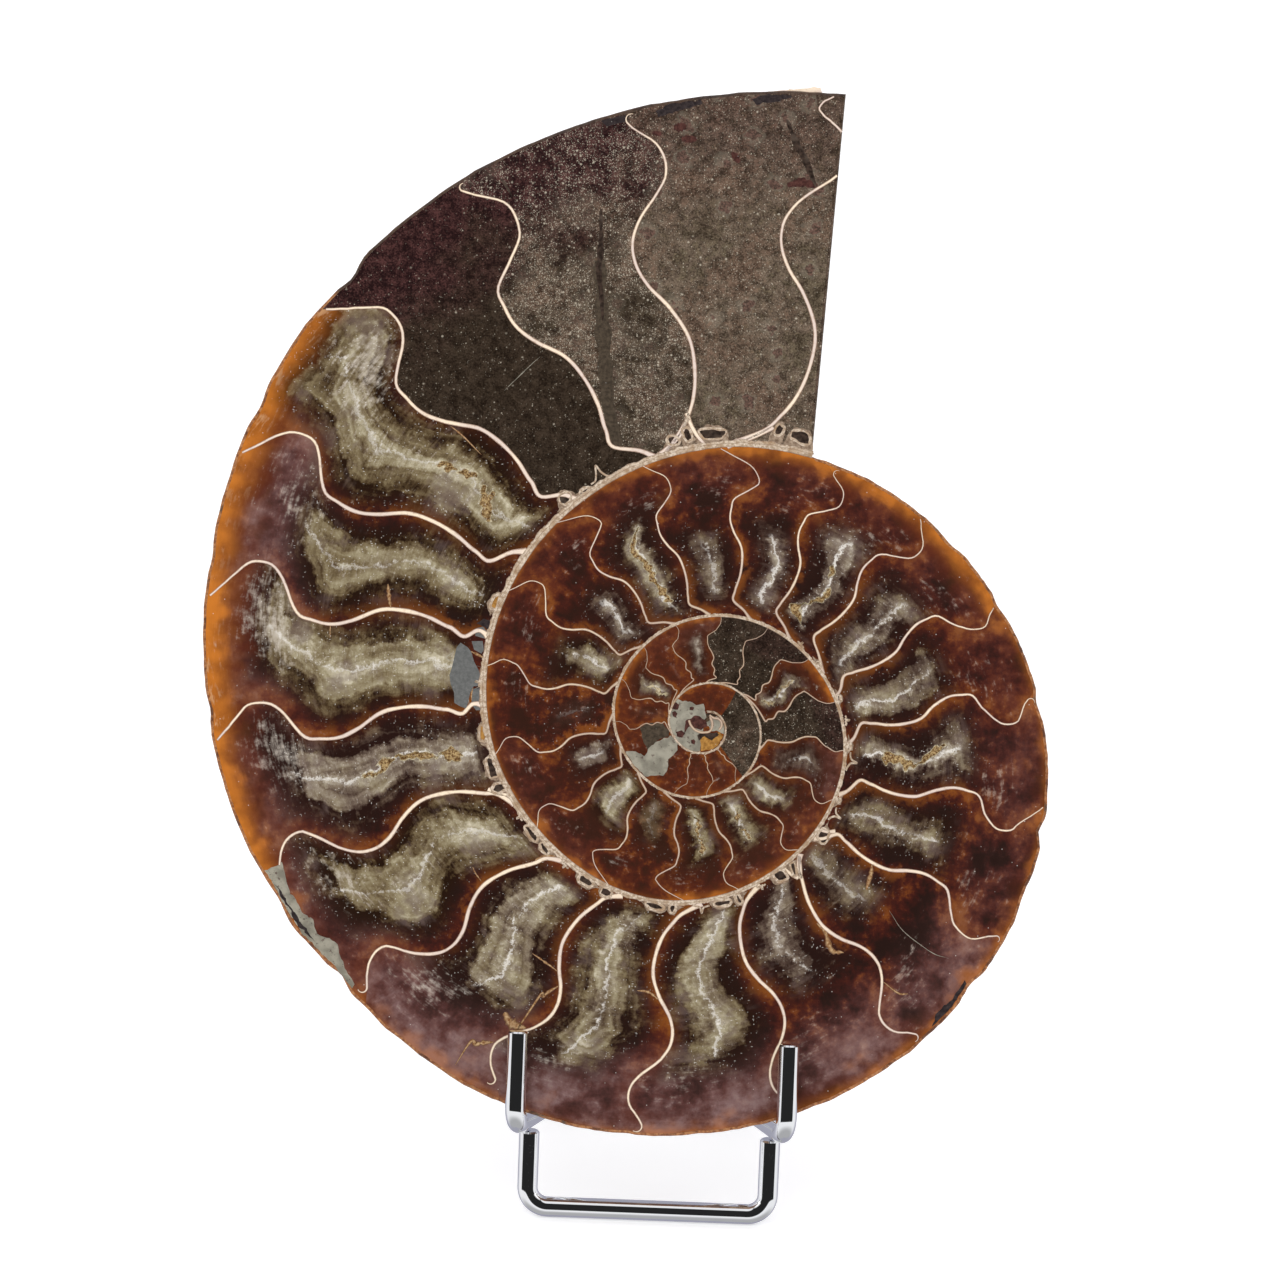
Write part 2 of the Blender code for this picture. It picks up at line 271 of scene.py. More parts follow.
# Slits that never filled, and the scar of one that did: paths and widths.
SLITS = [([(24, .82), (24.6, .76), (25.2, .71), (25.8, .67), (26.2, .61), (26.8, .54)], 1.0),
         ([(4.9, .95), (3.9, .91), (2.6, .87), (.9, .81)], 1.1),
         ([(33.2, .97), (32.9, .95), (32.7, .92)], .5)]
SCARS = [([(25.4, .7), (26.7, .56), (27.7, .45), (28.9, .33), (29.7, .22), (30, .1)], 2.3)]
# Fine scratches in the polish: paths and widths.
SCRATCHES = [([(86.4, .165), (88.6, .1), (88.3, .015)], .14),
             ([(93.1, .01), (94.3, .055), (98.2, .08)], .16),
             ([(43.6, .506), (40.7, .514), (36.8, .527)], .16), ([(57, .78), (55.5, .77)], .2),
             ([(237.5, .6), (236.6, .7), (237.3, .81), (238.9, .9)], .14)]
# Dark oval blotches in the sediment nearest the mouth: paths and widths.
BLOTCHES = [([(15.6, .953), (14.4, .949)], 1.5), ([(14.9, .926), (13.4, .921)], 1.2),
            ([(17.7, .948), (16.8, .943)], .9), ([(3.9, .81), (2.6, .818), (.8, .813)], 1.4),
            ([(9.9, .885), (9.1, .862)], 1.1)]
# Veins of golden calcite that cross the clear brown.
VEINS = [
    ([(85.4, .082), (85.6, .049), (86, .006)], .5),
    ([(93.4, .053), (95.6, .062), (98.6, .07), (99.3, .09)], .4),
    ([(82.3, .455), (80.7, .468), (78.8, .483)], .7), ([(87.4, .653), (89.8, .649)], .25),
    ([(163.7, .56), (162.2, .623), (161.4, .691), (161.3, .757), (161.6, .778)], .6),
    ([(158, .745), (159.9, .768), (162.3, .76)], 1.6),
    ([(156.6, .972), (156.4, .918), (157.3, .886), (159.2, .85)], .8),
    ([(178.6, .488), (180.8, .489), (183.3, .52)], .5), ([(155.9, .493), (158.7, .496), (162.2, .508)], .4),
    ([(134.4, .384), (136.2, .397), (138, .403)], .3), ([(237.1, .454), (239.9, .427), (242.7, .396)], .8),
    ([(222.2, .392), (222.9, .45), (222.1, .518), (224.1, .58)], .9),
    ([(227.5, .773), (228.3, .832), (229.8, .867)], .4),
    ([(141.6, .12), (142.7, .06), (145, .02)], 1.1), ([(53.1, .55), (52.6, .488), (52.3, .408)], .35),
]
# Blocks and patches of other stone set in the face, as outlines of places and shares.
SLATE_BLOCKS = [
    [(85.4, .15), (84.2, .136), (84.8, .098), (85.6, .075), (87.5, .056), (89.5, .025), (91.5, .009),
     (93.1, .011), (93.4, .049), (95, .066), (97.8, .085), (98.9, .094), (98.5, .125), (97.8, .152),
     (95.5, .152), (93.9, .167), (91.8, .171), (88.9, .159)],
    [(93.9, .053), (93.7, .011), (95.9, .002), (99.1, .01), (99.3, .042), (98, .064), (95.8, .058)],
    [(81.7, .071), (79.9, .076), (79, .044), (79.7, .008), (81.3, .01)],
    [(83.1, .085), (82.2, .027), (84.1, .012), (85.2, .022), (84.9, .065)],
]
DARK_BLOCKS = [
    [(17.2, .99), (16, .999), (13, .999), (12.8, .99), (14.9, .984), (17, .978)],
    [(8.3, .99), (7.4, .999), (4.8, .999), (4.7, .992), (6.1, .986), (7.8, .981)],
    [(22.5, .998), (21, .999), (19.6, .995), (20, .984), (21.9, .986)],
    [(229.7, .998), (231.8, .975), (235, .985), (238.2, .985), (238, .998), (234, .999)],
    [(78.7, .08), (77.2, .049), (77, .004), (79.4, .003), (78.9, .045)],
    [(123.2, .995), (124.3, .99), (127.2, .984), (129.9, .982), (132.2, .993), (129.3, .994), (126.4, .995)],
]
MINERAL_PATCHES = [
    [(121.1, .998), (121.1, .978), (120.9, .947), (123.1, .96), (125, .972), (126.4, .967), (128.1, .962),
     (129.4, .95), (131.1, .972), (132.2, .958), (133.6, .946), (135.7, .972), (137.7, .99), (139.2, .985),
     (139.6, .998), (136, .999), (133, .999), (130, .999), (127, .999), (124, .999)],
    [(842.5, .985), (844.7, .87), (850.4, .78), (846.8, .67), (842.2, .42), (842.5, .14), (853, .02),
     (867.2, .22), (868.3, .53), (874.1, .73), (873.6, .81), (867.4, .92), (864, .98), (852, .985)],
]
OLIVE_PATCHES = [[(825.8, .67), (822.4, .53), (821.5, .22), (836.7, .09), (841.9, .17), (841.7, .45),
                  (847.4, .7), (837.3, .69)]]
# A splinter of shell standing above the rim near the mouth: place along it and height above it.
SPLINTER = [(6.9, .05), (5, .3), (3.4, .6), (2.9, .85), (2.3, .8), (2.1, .1), (4, -.5), (6, -.4)]
SPLINTER_TOP = -.35
SPLINTER_BOTTOM = -1.3
# The coil's start, in millimetres from its pole, across the face and up it.
START_MINERAL = [(-3.9, 3.4), (-2.3, 3.5), (-1.3, 2.9), (-.2, 3.1), (.3, 1.2), (-1, -1), (-.5, -4.3),
                 (-2.4, -4.4), (-4, -3.3), (-5.3, -1.5), (-5.6, 1.2), (-5, 2.6)]
START_AMBER = [(-.5, -2.5), (.2, -1.9), (2.6, -1.2), (3, -1.8), (2.2, -3.4), (1.1, -4), (-.3, -4.1)]
START_HOLLOW = [(-1.1, -1.8), (-.6, -1.5), (1, -1.5), (2, -1.2), (2.4, -1.6), (1.4, -2.5), (.2, -2),
                (-.6, -2.5)]
START_DRUSE = [(-3, .3), (-1.3, 1.4), (.3, .6), (.5, -.3), (-.6, -1), (-2.2, -.4), (-3.1, -1.5)]
START_ISLAND = np.array([(-.5, .3), (.1, .6), (.6, .2), (.3, -.5), (-.4, -.4)])
# Size and place of each island.
START_ISLANDS = [(1.1, (-4.6, 2.6)), (.8, (-4.7, 1.3)), (1.2, (-3.7, -1.7)), (.7, (-1.6, -2.9)),
                 (.6, (-2, 2.3))]
START_CELL = [(.9, .9), (2.3, .7), (2.7, -.2), (2, -.9), (1, -1.1), (.8, -.1)]
START_CURLS = [[(-2.4, .5), (-2.1, -.2), (-1.6, -.8), (-.6, -1.3), (.3, -1.3), (.8, -1.2), (1.2, -.7),
                (1.3, -.1), (1.2, .5), (.9, 1.1)],
               [(.8, 1.4), (1.5, 1), (2.2, .9), (2.7, .4), (2.7, -.4), (2.4, -.8)]]

# The milky core: how far its outer end bends over, how wide it grows as a share of the whorl, how
# its corners are rounded off, and how far it is told apart. The bloom is a pale patch near its end.
CORE_BEND = 0.15
CORE_HALF_WIDTH = 0.16
CORE_CORNER = 0.35
CORE_CORNER_REACH = 1.5
CORE_RANGE = 8
BLOOM_SIDE = 0.26
BLOOM_SHARE = 0.82
BLOOM_SIZE = 0.16
BIG_CHAMBER = 40

# How fine the fillings are: parts of the whorl's size, and the least and most in millimetres.
CALCITE_SPACING = (55, .16, .9)
PLAIN_SPACING = (40, .2, 1.2)
PITTED_FINENESS = 0.36
# Degrees from a chamber's mouth side to its middle.
HALF_CHAMBER = 9.0
FEWEST_ROWS = 12
FEWEST_COLUMNS = 8

# Angles, in degrees, above which an edge stays sharp.
OUTSIDE_SMOOTHNESS = 50
FILLING_SMOOTHNESS = 30
INLAY_SMOOTHNESS = 40
WIRE_SMOOTHNESS = 35

PIT_DEPTH = 0.8
FILLING_DEPTH = 1.1
LIP = 0.45
LIP_BEVEL = 0.12
LIP_FALL = 0.01
# The lip and the sawn mouth are finished as if this far from the shell, in a whorl of this size.
FAR_FROM_SHELL = 9
MOUTH_SIZE = 50
STRIP_DEPTH = 0.3
PROUD = 0.02

# The stand. Y = 0 of these is the plane of the hooks.
WIRE_RADIUS = 1.6 * MM
WIRE_BEND_RADIUS = 3.2 * MM
WIRE_END_EASE = 0.25 * MM
BEND_STEPS = 14
WIRE_SIDES = 40
TOUCHING_GAP = 0.3 * MM
HOOK_HALF_SPAN = 21.2 * MM
HOOK_LEAN = math.radians(8.0)
LEFT_HOOK_RISE = 14.9 * MM
RIGHT_HOOK_RISE = 14.4 * MM
LEDGE_HEIGHT = 16.6 * MM
LEDGE_FALL = math.radians(5.5)
LEDGE_DEPTH = 25.0 * MM
BACKREST_HALF_SPAN = 15.4 * MM
BACKREST_TOP = 61.0 * MM
BACKREST_SETBACK = 25.4 * MM
FOOT_HALF_SPAN = 19.0 * MM
FOOT_SETBACK = 7.5 * MM
REAR_FOOT_SETBACK = 70.0 * MM
REAR_FOOT_HALF_SPAN = 15.0 * MM
REAR_LEG_TOP_HALF_SPAN = 10.0 * MM


# ---------------------------------------------------------------- shader maths

class Sum:
    """A value in a material, so that its maths is written as plain expressions."""

    def __init__(self, finish, socket):
        self.finish = finish
        self.socket = socket

    def math(self, operation, *others):
        return self.finish.node("ShaderNodeMath", {"operation": operation}, dict(enumerate((self, *others))))

    def __add__(self, other):
        return self.math("ADD", other)

    __radd__ = __add__

    def __sub__(self, other):
        return self.math("SUBTRACT", other)

    def __rsub__(self, other):
        return (self * -1.0).math("ADD", other)

    def __mul__(self, other):
        return self.math("MULTIPLY", other)

    __rmul__ = __mul__

    def __truediv__(self, other):
        return self.math("DIVIDE", other)

    def __rtruediv__(self, other):
        return self.math("POWER", -1.0) * other

    def __abs__(self):
        return self.math("ABSOLUTE")

    def least(self, other):
        return self.math("MINIMUM", other)

    def most(self, other):
        return self.math("MAXIMUM", other)

    def fraction(self):
        return self.math("FRACT")

    def sine(self):
        return self.math("SINE")

    def rise(self, low, high):
        """0 below low, 1 above high, and smooth between them. It falls instead where low is above high."""
        settings = {"interpolation_type": "SMOOTHSTEP", "clamp": True}
        return self.finish.node("ShaderNodeMapRange", settings,
                                {"Value": self, "From Min": low, "From Max": high})


class Finish:
    """A material that is written as expressions on its nodes."""

    def __init__(self, name, roughness, **uniform):
        self.material = bpy.data.materials.new(name)
        self.material.use_nodes = True
        self.tree = self.material.node_tree
        self.shader = self.tree.nodes["Principled BSDF"]
        self.here = self.place()
        self.set("Roughness", roughness)
        for socket, value in uniform.items():
            self.set(socket.replace("_", " "), value)

    @classmethod
    def on(cls, tree):
        """The same expressions on a node tree that isn't a material's."""
        made = cls.__new__(cls)
        made.tree = tree
        return made

    def node(self, kind, settings=None, values=None, output=None):
        """Adds a node of this kind and returns its output. The settings are made before the values."""
        made = self.tree.nodes.new(kind)
        for setting, value in (settings or {}).items():
            if setting == "stops":
                set_stops(made.color_ramp, value)
            else:
                setattr(made, setting, value)
        for key, value in (values or {}).items():
            socket = made.inputs[key] if isinstance(key, int) else named_socket(made.inputs, key)
            self.put(socket, value)
        shown = [socket for socket in made.outputs if socket.enabled]
        return Sum(self, named_socket(made.outputs, output) if output else shown[0])

    def put(self, socket, value):
        if isinstance(value, Sum):
            self.tree.links.new(value.socket, socket)
        elif socket.type == "RGBA":
            socket.default_value = (*value, 1.0)
        else:
            socket.default_value = value

    def set(self, socket, value):
        self.put(self.shader.inputs[socket], value)

    def value(self, name):
        return self.node("ShaderNodeAttribute", {"attribute_name": name}, output="Fac")

    def values(self, names):
        return [self.value(name) for name in names.split()]

    def place(self, *stretch):
        """The point on the object in millimetres, stretched along its own axes."""
        point = self.node("ShaderNodeTexCoord", output="Object")
        size = [1000 * amount for amount in (stretch or (1, 1, 1))]
        return self.node("ShaderNodeVectorMath", {"operation": "MULTIPLY"}, {0: point, 1: size})

    def vector(self, x, y, z):
        return self.node("ShaderNodeCombineXYZ", None, {0: x, 1: y, 2: z})

    def noise(self, scale, detail=3.0, roughness=0.55, place=None, distortion=0.0):
        values = {"Vector": place or self.here, "Scale": scale, "Detail": detail, "Roughness": roughness,
                  "Distortion": distortion}
        return self.node("ShaderNodeTexNoise", None, values, output="Fac")

    def swing(self, scale, detail=3.0, roughness=0.55, place=None):
        """Noise about 0."""
        return self.noise(scale, detail, roughness, place) - .5

    def cells(self, scale, place=None, dimensions="3D", output="Distance"):
        return self.node("ShaderNodeTexVoronoi", {"voronoi_dimensions": dimensions},
                         {"Vector": place or self.here, "Scale": scale}, output)

    def cell_chance(self, scale, place=None, dimensions="3D"):
        """A random value for each cell."""
        colour = self.cells(scale, place, dimensions, "Color")
        return self.node("ShaderNodeSeparateColor", None, {0: colour}, "Red")

    def mix(self, share, first, second, blend="MIX"):
        """A colour between two, at this share of the way."""
        settings = {"data_type": "RGBA", "blend_type": blend}
        values = {"Factor_Float": share, "A_Color": first, "B_Color": second}
        return self.node("ShaderNodeMix", settings, values, output="Result_Color")

    def ramp(self, value, stops):
        return self.node("ShaderNodeValToRGB", {"stops": stops}, {"Fac": value}, output="Color")

    def done(self, colour, height, distance, strength=1.0, roughness=None):
        """Gives the surface its colour and its small relief, with the distance in millimetres."""
        self.set("Base Color", colour)
        if roughness is not None:
            self.set("Roughness", roughness)
        values = {"Height": height, "Distance": distance * MM, "Strength": strength}
        self.set("Normal", self.node("ShaderNodeBump", None, values))
        return self


def named_socket(sockets, name):
    for socket in sockets:
        if socket.identifier == name or (socket.name == name and socket.enabled):
            return socket
    raise KeyError(name)


def set_stops(ramp, stops):
    """Fills a colour ramp from pairs of place and colour."""
    while len(ramp.elements) < len(stops):
        ramp.elements.new(1.0)
    for element, (place, colour) in zip(ramp.elements, stops):
        element.position = place
        element.color = (*colour, 1.0)


# ---------------------------------------------------------------- meshes

def chance(x, y=0.0, z=0.0):
    """A smooth chance value about 0, always the same at one place."""
    return noise.noise(Vector((x, y, z)))


class Shape:
    """Closed bodies gathered into one mesh, with named values at their points."""

    def __init__(self):
        self.points = []
        self.faces = []
        self.kinds = []
        self.values = {}

    def add(self, points, faces, kind=0, **values):
        start = len(self.points)
        self.points += [tuple(point) for point in np.asarray(points) * MM]
        self.faces += [tuple(start + corner for corner in face) for face in faces]
        self.kinds += [kind] * len(faces) if isinstance(kind, int) else list(kind)
        for name, value in values.items():
            column = self.values.setdefault(name, [])
            column += [0.0] * (start - len(column))
            column += list(np.broadcast_to(value, len(points)))

    def band(self, path, widths, **options):
        """Adds a strip along a path, with how far across it each point is."""
        points, faces, across = strip(path, widths, **options)
        self.add(points, faces, across=across)

    def make(self, name, materials, placed, smooth_below):
        mesh = bpy.data.meshes.new(name)
        mesh.from_pydata(self.points, [], self.faces)
        for material in materials:
            mesh.materials.append(material.material)
        mesh.polygons.foreach_set("material_index", self.kinds)
        for value_name, column in self.values.items():
            column += [0.0] * (len(self.points) - len(column))
            mesh.attributes.new(value_name, "FLOAT", "POINT").data.foreach_set("value", column)
        mesh.shade_smooth()
        mesh.set_sharp_from_angle(angle=math.radians(smooth_below))
        mesh.validate()
        piece = bpy.data.objects.new(name, mesh)
        bpy.context.scene.collection.objects.link(piece)
        piece.matrix_world = placed
        return piece


def grid_faces(rows, columns, closed=False, looped=False):
    """Faces of a grid of points, row by row, anticlockwise where rows go up and columns go right. A closed
    one joins its last column to its first, and a looped one its last row to its first."""
    faces = []
    for row in range(rows if looped else rows - 1):
        above = (row + 1) % rows
        for column in range(columns if closed else columns - 1):
            beside = (column + 1) % columns
            faces.append((row * columns + column, row * columns + beside,
                          above * columns + beside, above * columns + column))
    return faces


def tube_faces(rings, corners, looped=False):
    """Faces of a tube of rings, with its ends closed unless they are joined in a loop."""
    sides = grid_faces(rings, corners, closed=True, looped=looped)
    ends = [tuple(reversed(range(corners))), tuple(range((rings - 1) * corners, rings * corners))]
    return sides if looped else sides + ends


def border(rows, columns):
    """Indices round a grid's edge, in the same sense as its faces."""
    bottom = list(range(columns))
    right = [row * columns + columns - 1 for row in range(1, rows)]
    top = [(rows - 1) * columns + column for column in range(columns - 2, -1, -1)]
    left = [row * columns for row in range(rows - 2, 0, -1)]
    return bottom + right + top + left


def slab(points, rows, columns, depth):
    """A grid of points as the top of a closed body this deep."""
    edge = border(rows, columns)
    below = points[edge].copy()
    below[:, 2] = -depth
    count = len(points)
    faces = grid_faces(rows, columns)
    for place in range(len(edge)):
        after = (place + 1) % len(edge)
        faces.append((edge[place], count + place, count + after, edge[after]))
    faces.append(tuple(count + place for place in reversed(range(len(edge)))))
    return np.vstack([points, below]), faces, edge


def strip(path, widths, top=PROUD, bottom=-STRIP_DEPTH, chamfer=0.05, closed=False):
    """A closed band along a path on the face, with its top edges eased."""
    path = np.asarray(path, float)
    widths = np.broadcast_to(widths, len(path))
    if closed:
        ahead = np.roll(path, -1, axis=0) - np.roll(path, 1, axis=0)
    else:
        ahead = np.gradient(path, axis=0)
    ahead /= np.maximum(np.linalg.norm(ahead, axis=1, keepdims=True), 1e-9)
    left = np.stack([-ahead[:, 1], ahead[:, 0]], axis=1)
    ease = np.minimum(chamfer, widths / 4)
    section = [(-1, 0, bottom), (1, 0, bottom), (1, 0, top - chamfer / 2), (1, -1, top),
               (-1, 1, top), (-1, 0, top - chamfer / 2)]
    points, across = [], []
    for place, half, eased, side in zip(path, widths / 2, ease, left):
        for direction, inwards, height in section:
            offset = direction * half + inwards * eased
            points.append((*(place + side * offset), height))
            across.append(direction)
    return np.array(points), tube_faces(len(path), len(section), closed), np.array(across, float)


# ---------------------------------------------------------------- the coil

def smooth_curve(at, places, heights):
    """A smooth curve through points, read at these places."""
    slopes = np.gradient(heights, places)
    at = np.clip(at, places[0], places[-1])
    first = np.clip(np.searchsorted(places, at, side="right") - 1, 0, len(places) - 2)
    gap = places[first + 1] - places[first]
    share = (at - places[first]) / gap
    blend = share * share * (3 - 2 * share)
    bend_in = share * (1 - share) ** 2 * gap * slopes[first]
    bend_out = share * share * (share - 1) * gap * slopes[first + 1]
    return heights[first] * (1 - blend) + heights[first + 1] * blend + bend_in + bend_out


def wall_radius(turned):
    """Radius of the coil's wall, turned degrees inwards from the mouth's top corner."""
    turned = np.asarray(turned, float)
    knots = np.log(WALL_RADII)
    last = len(knots) - 1
    place = np.minimum(turned / WALL_STEP, last)
    first = np.clip(np.floor(place).astype(int), 0, last - 1)
    share = place - first
    start, end = knots[first], knots[first + 1]
    before = np.where(first > 0, knots[np.maximum(first - 1, 0)], 2 * start - end)
    after = np.where(first + 2 <= last, knots[np.minimum(first + 2, last)], 2 * end - start)
    blend = share * share * (3 - 2 * share)
    bend_in = share * (1 - share) ** 2 * (end - before) / 2
    bend_out = share * share * (share - 1) * (after - start) / 2
    past_the_end = np.maximum(turned - LAST_TURNED, 0) / WALL_STEP
    return np.exp(start + blend * (end - start) + bend_in + bend_out - CENTRE_SHRINK * past_the_end)


def nicks(turned):
    """How far the rim is worn or chipped back, in millimetres."""
    depth = np.zeros(np.shape(turned))
    for place, width, deep in NICKS:
        depth += deep * np.exp(-((turned - place) / width) ** 2)
    return depth + np.reshape(unevenness(np.ravel(turned), RIM_WEAR), np.shape(turned))


def unevenness(places, layers):
    """Layers of smooth chance along a line, from rows of how fast, which and how much."""
    return np.array([sum(chance(place * fast, which) * much for fast, which, much in layers)
                     for place in places])


def on_outside(turned):
    return np.asarray(turned) < JUNCTION_TURNED


def rim_radius(turned):
    """Radius of the outline, where it follows the coil."""
    return wall_radius(turned) - nicks(np.asarray(turned, float))


def coil_radius(turned, share, inset=0.0):
    """Radius a share of the way out across the whorl, kept inside the fossil's lip."""
    outer, inner = wall_radius(turned), wall_radius(np.asarray(turned) + 360)
    radius = inner * (outer / inner) ** share
    edge = np.where(on_outside(turned), rim_radius(turned) - inset, outer)
    return inner + (radius - inner) * (edge - inner) / (outer - inner)


def at_angle(radius, turned):
    angle = np.radians(MOUTH_CORNER_ANGLE + np.asarray(turned, float))
    return np.stack([radius * np.cos(angle), radius * np.sin(angle)], axis=-1)


def on_coil(turned, share, inset=0.0):
    """Points of the face, turned degrees along the coil and a share of the way out."""
    turned = np.asarray(turned, float)
    return at_angle(coil_radius(turned, share, inset), turned)


def mouth_ends():
    return at_angle(wall_radius(JUNCTION_TURNED), JUNCTION_TURNED), at_angle(wall_radius(0.0), 0.0)


def mouth_turned(share, inset=0.0):
    """Where the straight edge of the mouth crosses the whorl, as degrees along the coil."""
    junction, corner = mouth_ends()
    steps = np.linspace(0, 1, 60)[:, None]
    line = junction + (corner - junction) * steps - np.array([inset, 0.0])
    radius = np.hypot(line[:, 0], line[:, 1])
    turned = np.degrees(np.arctan2(line[:, 1], line[:, 0])) - MOUTH_CORNER_ANGLE
    outer, inner = wall_radius(turned), wall_radius(turned + 360)
    crossed = np.log(radius / inner) / np.log(outer / inner)
    return np.interp(share, crossed, turned)


def septum_turned(number, share):
    """Where a septum lies, as degrees along the coil, at shares of the way out."""
    septum = SEPTA[number]
    share = np.asarray(share, float)
    slid = share - septum.slide * 4 * share * (1 - share)
    bend = smooth_curve(slid, BEND_SHARES, septum.bends)
    foot = septum.foot * np.clip(1 - share / .2, 0, 1) ** 2
    tip = septum.tip * np.clip((share - .85) / .15, 0, 1)
    return septum.turned + septum.swing * bend + septum.lean * (share - .5) + foot + tip


def wall_width(turned):
    """Width of the wall between two whorls, as the saw cut it."""
    return np.interp(turned, WIDTH_PLACES, WALL_WIDTHS)


def gap_to(path, points):
    """Distance from each point to a path."""
    starts, ends = path[:-1], path[1:]
    along = ends - starts
    lengths = np.maximum((along ** 2).sum(axis=1), 1e-12)
    offset = points[:, None, :] - starts[None]
    share = np.clip((offset * along).sum(axis=2) / lengths, 0, 1)
    nearest = starts + along * share[..., None]
    return np.linalg.norm(points[:, None, :] - nearest, axis=2).min(axis=1)


def chamber_size(number, further=0.0):
    """Distance across the whorl at a chamber's mouth side, or some degrees further in."""
    turned = SEPTA[max(number, 1)].turned + further
    return float(wall_radius(turned) - wall_radius(turned + 360))


Grid = namedtuple("Grid", "flat turned share rows columns mouth_side far_side")


def chamber_grid(number, spacing):
    """Points of one chamber's filling, and the two walls beside it. Number 0 runs to the second septum."""
    rows = max(FEWEST_ROWS, int(chamber_size(number, HALF_CHAMBER) / spacing))
    share = np.linspace(0, 1, rows)
    first = septum_turned(number, share) if number else mouth_turned(share, LIP)
    second = septum_turned(number + 1 if number else 2, share)
    arc = float(np.mean((second - first) * np.radians(1) * coil_radius((first + second) / 2, share)))
    columns = max(FEWEST_COLUMNS, int(abs(arc) / spacing))
    turned = first[:, None] + (second - first)[:, None] * np.linspace(0, 1, columns)[None]
    shares = np.repeat(share[:, None], columns, axis=1)
    flat = on_coil(turned, shares, LIP).reshape(-1, 2)
    return Grid(flat, turned.ravel(), shares.ravel(), rows, columns,
                on_coil(first, share), on_coil(second, share))


# ---------------------------------------------------------------- finishes

BLACK_BROWN = (.018, .008, .006)
DARK_RED = (.046, .010, .007)
RED_BROWN = (.098, .021, .008)
ORANGE_BROWN = (.19, .055, .010)
# The next two colours light the rim from within: orange, partly the calcite's amber and partly painted light
# through the thin edge, and a painted pink highlight.
ORANGE = (.51, .160, .020)
PINK_HIGHLIGHT = (.56, .31, .15)
MAROON = (.120, .056, .050)
MAUVE = (.205, .130, .126)
YOUNG_BROWN = (.105, .026, .008)
PALE = (.50, .44, .37)
WHITE = (.72, .68, .62)
PUFF = (.32, .24, .22)
CORE_SHADOW = (.135, .094, .082)
PIT_EDGE = (.62, .54, .36)
PIT_CRYSTALS = ((.15, .065, .015), (.58, .41, .19))
GREEN_STONE = [(0, (.016, .007, .003)), (.2, (.070, .044, .020)), (.44, (.168, .126, .066)),
               (.68, (.29, .245, .15)), (1, (.56, .50, .37))]
GREY_STONE = [(0, (.018, .007, .005)), (.2, (.070, .044, .032)), (.44, (.165, .123, .090)),
              (.68, (.31, .26, .205)), (1, (.60, .54, .46))]
# White dashes in the calcite: how they are stretched, their size and how few they are.
DASHES = [((1, 3.2, 1), .26, .8), ((3.2, 1.1, 1), .26, .82), ((1.9, 1.7, 1), .22, .78)]


def specks(finish, scale, size, few, place=None):
    """Small light points: a cell shows one where its random value is above few."""
    chosen = finish.cell_chance(scale, place).rise(few, few + .02)
    return finish.cells(scale, place).rise(size, size * .4) * chosen


CALCITE_VALUES = ("before_gap after_gap rim_gap coil_gap along inside line pit "
                  "milk olive amber gloom haze bloom size seed scale")


def calcite_stone(finish):
    """What the calcite's look is drawn from: the measures and strengths at each point, and layers of
    chance from clouds as big as the chamber down to single grains."""
    stone = SimpleNamespace(**{name: finish.value(name) for name in CALCITE_VALUES.split()})
    line, scale = stone.line, stone.scale
    grown = finish.node("ShaderNodeVectorMath", {"operation": "SCALE"},
                        {"Vector": finish.here, "Scale": 1 / scale})
    stone.cloud = finish.swing(.12, 2, .5, grown)
    stone.patch = finish.swing(.42, 3, .55, grown)
    stone.soft = finish.swing(.33, 1, .4, grown)
    stone.mottle = finish.swing(1.2, 3, .6)
    stone.grain = finish.swing(3.4, 3, .7)
    stone.fibre = finish.swing(1.0, 3, .6, finish.vector(line * .5, stone.along * 2.4, stone.seed * 31))
    stone.near_rim = (stone.rim_gap / stone.size).rise(.45, .05)
    stone.depth = (stone.inside + stone.patch * 2.0 * scale + stone.cloud * 3.2 * scale
                   + stone.mottle * .5 + stone.grain * .3)
    stone.wander = abs(line + stone.patch * 2.6 * scale + stone.mottle * 1.5)
    return stone


def clear_brown(finish, stone):
    """Clear brown stone, redder by the septa, warm at their feet and black round the milky core."""
    cloud, patch, mottle = stone.cloud, stone.patch, stone.mottle
    by_septum = (stone.before_gap.least(stone.after_gap) / stone.scale).rise(3.5, .4)
    redness = (cloud * 2.4 + patch * 1.3 + mottle * .8 + by_septum * .32 + stone.near_rim * .22
               - stone.gloom * .4)
    brown = finish.mix(redness.rise(-.55, .0), BLACK_BROWN, DARK_RED)
    brown = finish.mix(redness.rise(-.2, .4), brown, RED_BROWN)
    foot = (stone.after_gap / stone.scale).rise(2.8, .1) * (stone.coil_gap / stone.size).rise(.6, .08)
    warm = foot * .5 + by_septum * .2 + patch * 1.4 + cloud * 1.2 + mottle * .7 + stone.amber * .08
    brown = finish.mix(warm.rise(.12, .6), brown, ORANGE_BROWN)
    outline = stone.depth.rise(-3.4, -.6) * stone.milk.rise(.1, .4)
    return finish.mix(outline * .6, brown, BLACK_BROWN)


def misty_rim(finish, stone, brown):
    """Purple mist under the rim of some chambers."""
    cloud, patch, mottle = stone.cloud, stone.patch, stone.mottle
    misty = stone.near_rim * (cloud * 1.4 + patch * .7 + mottle * .3 + .5).rise(-.1, .75) * stone.haze
    tint = (patch * 1.3 + cloud * 1.4 + stone.fibre * .4 + stone.grain * .3).rise(-.25, .3)
    return finish.mix(misty * .9, brown, finish.mix(tint, MAROON, MAUVE))


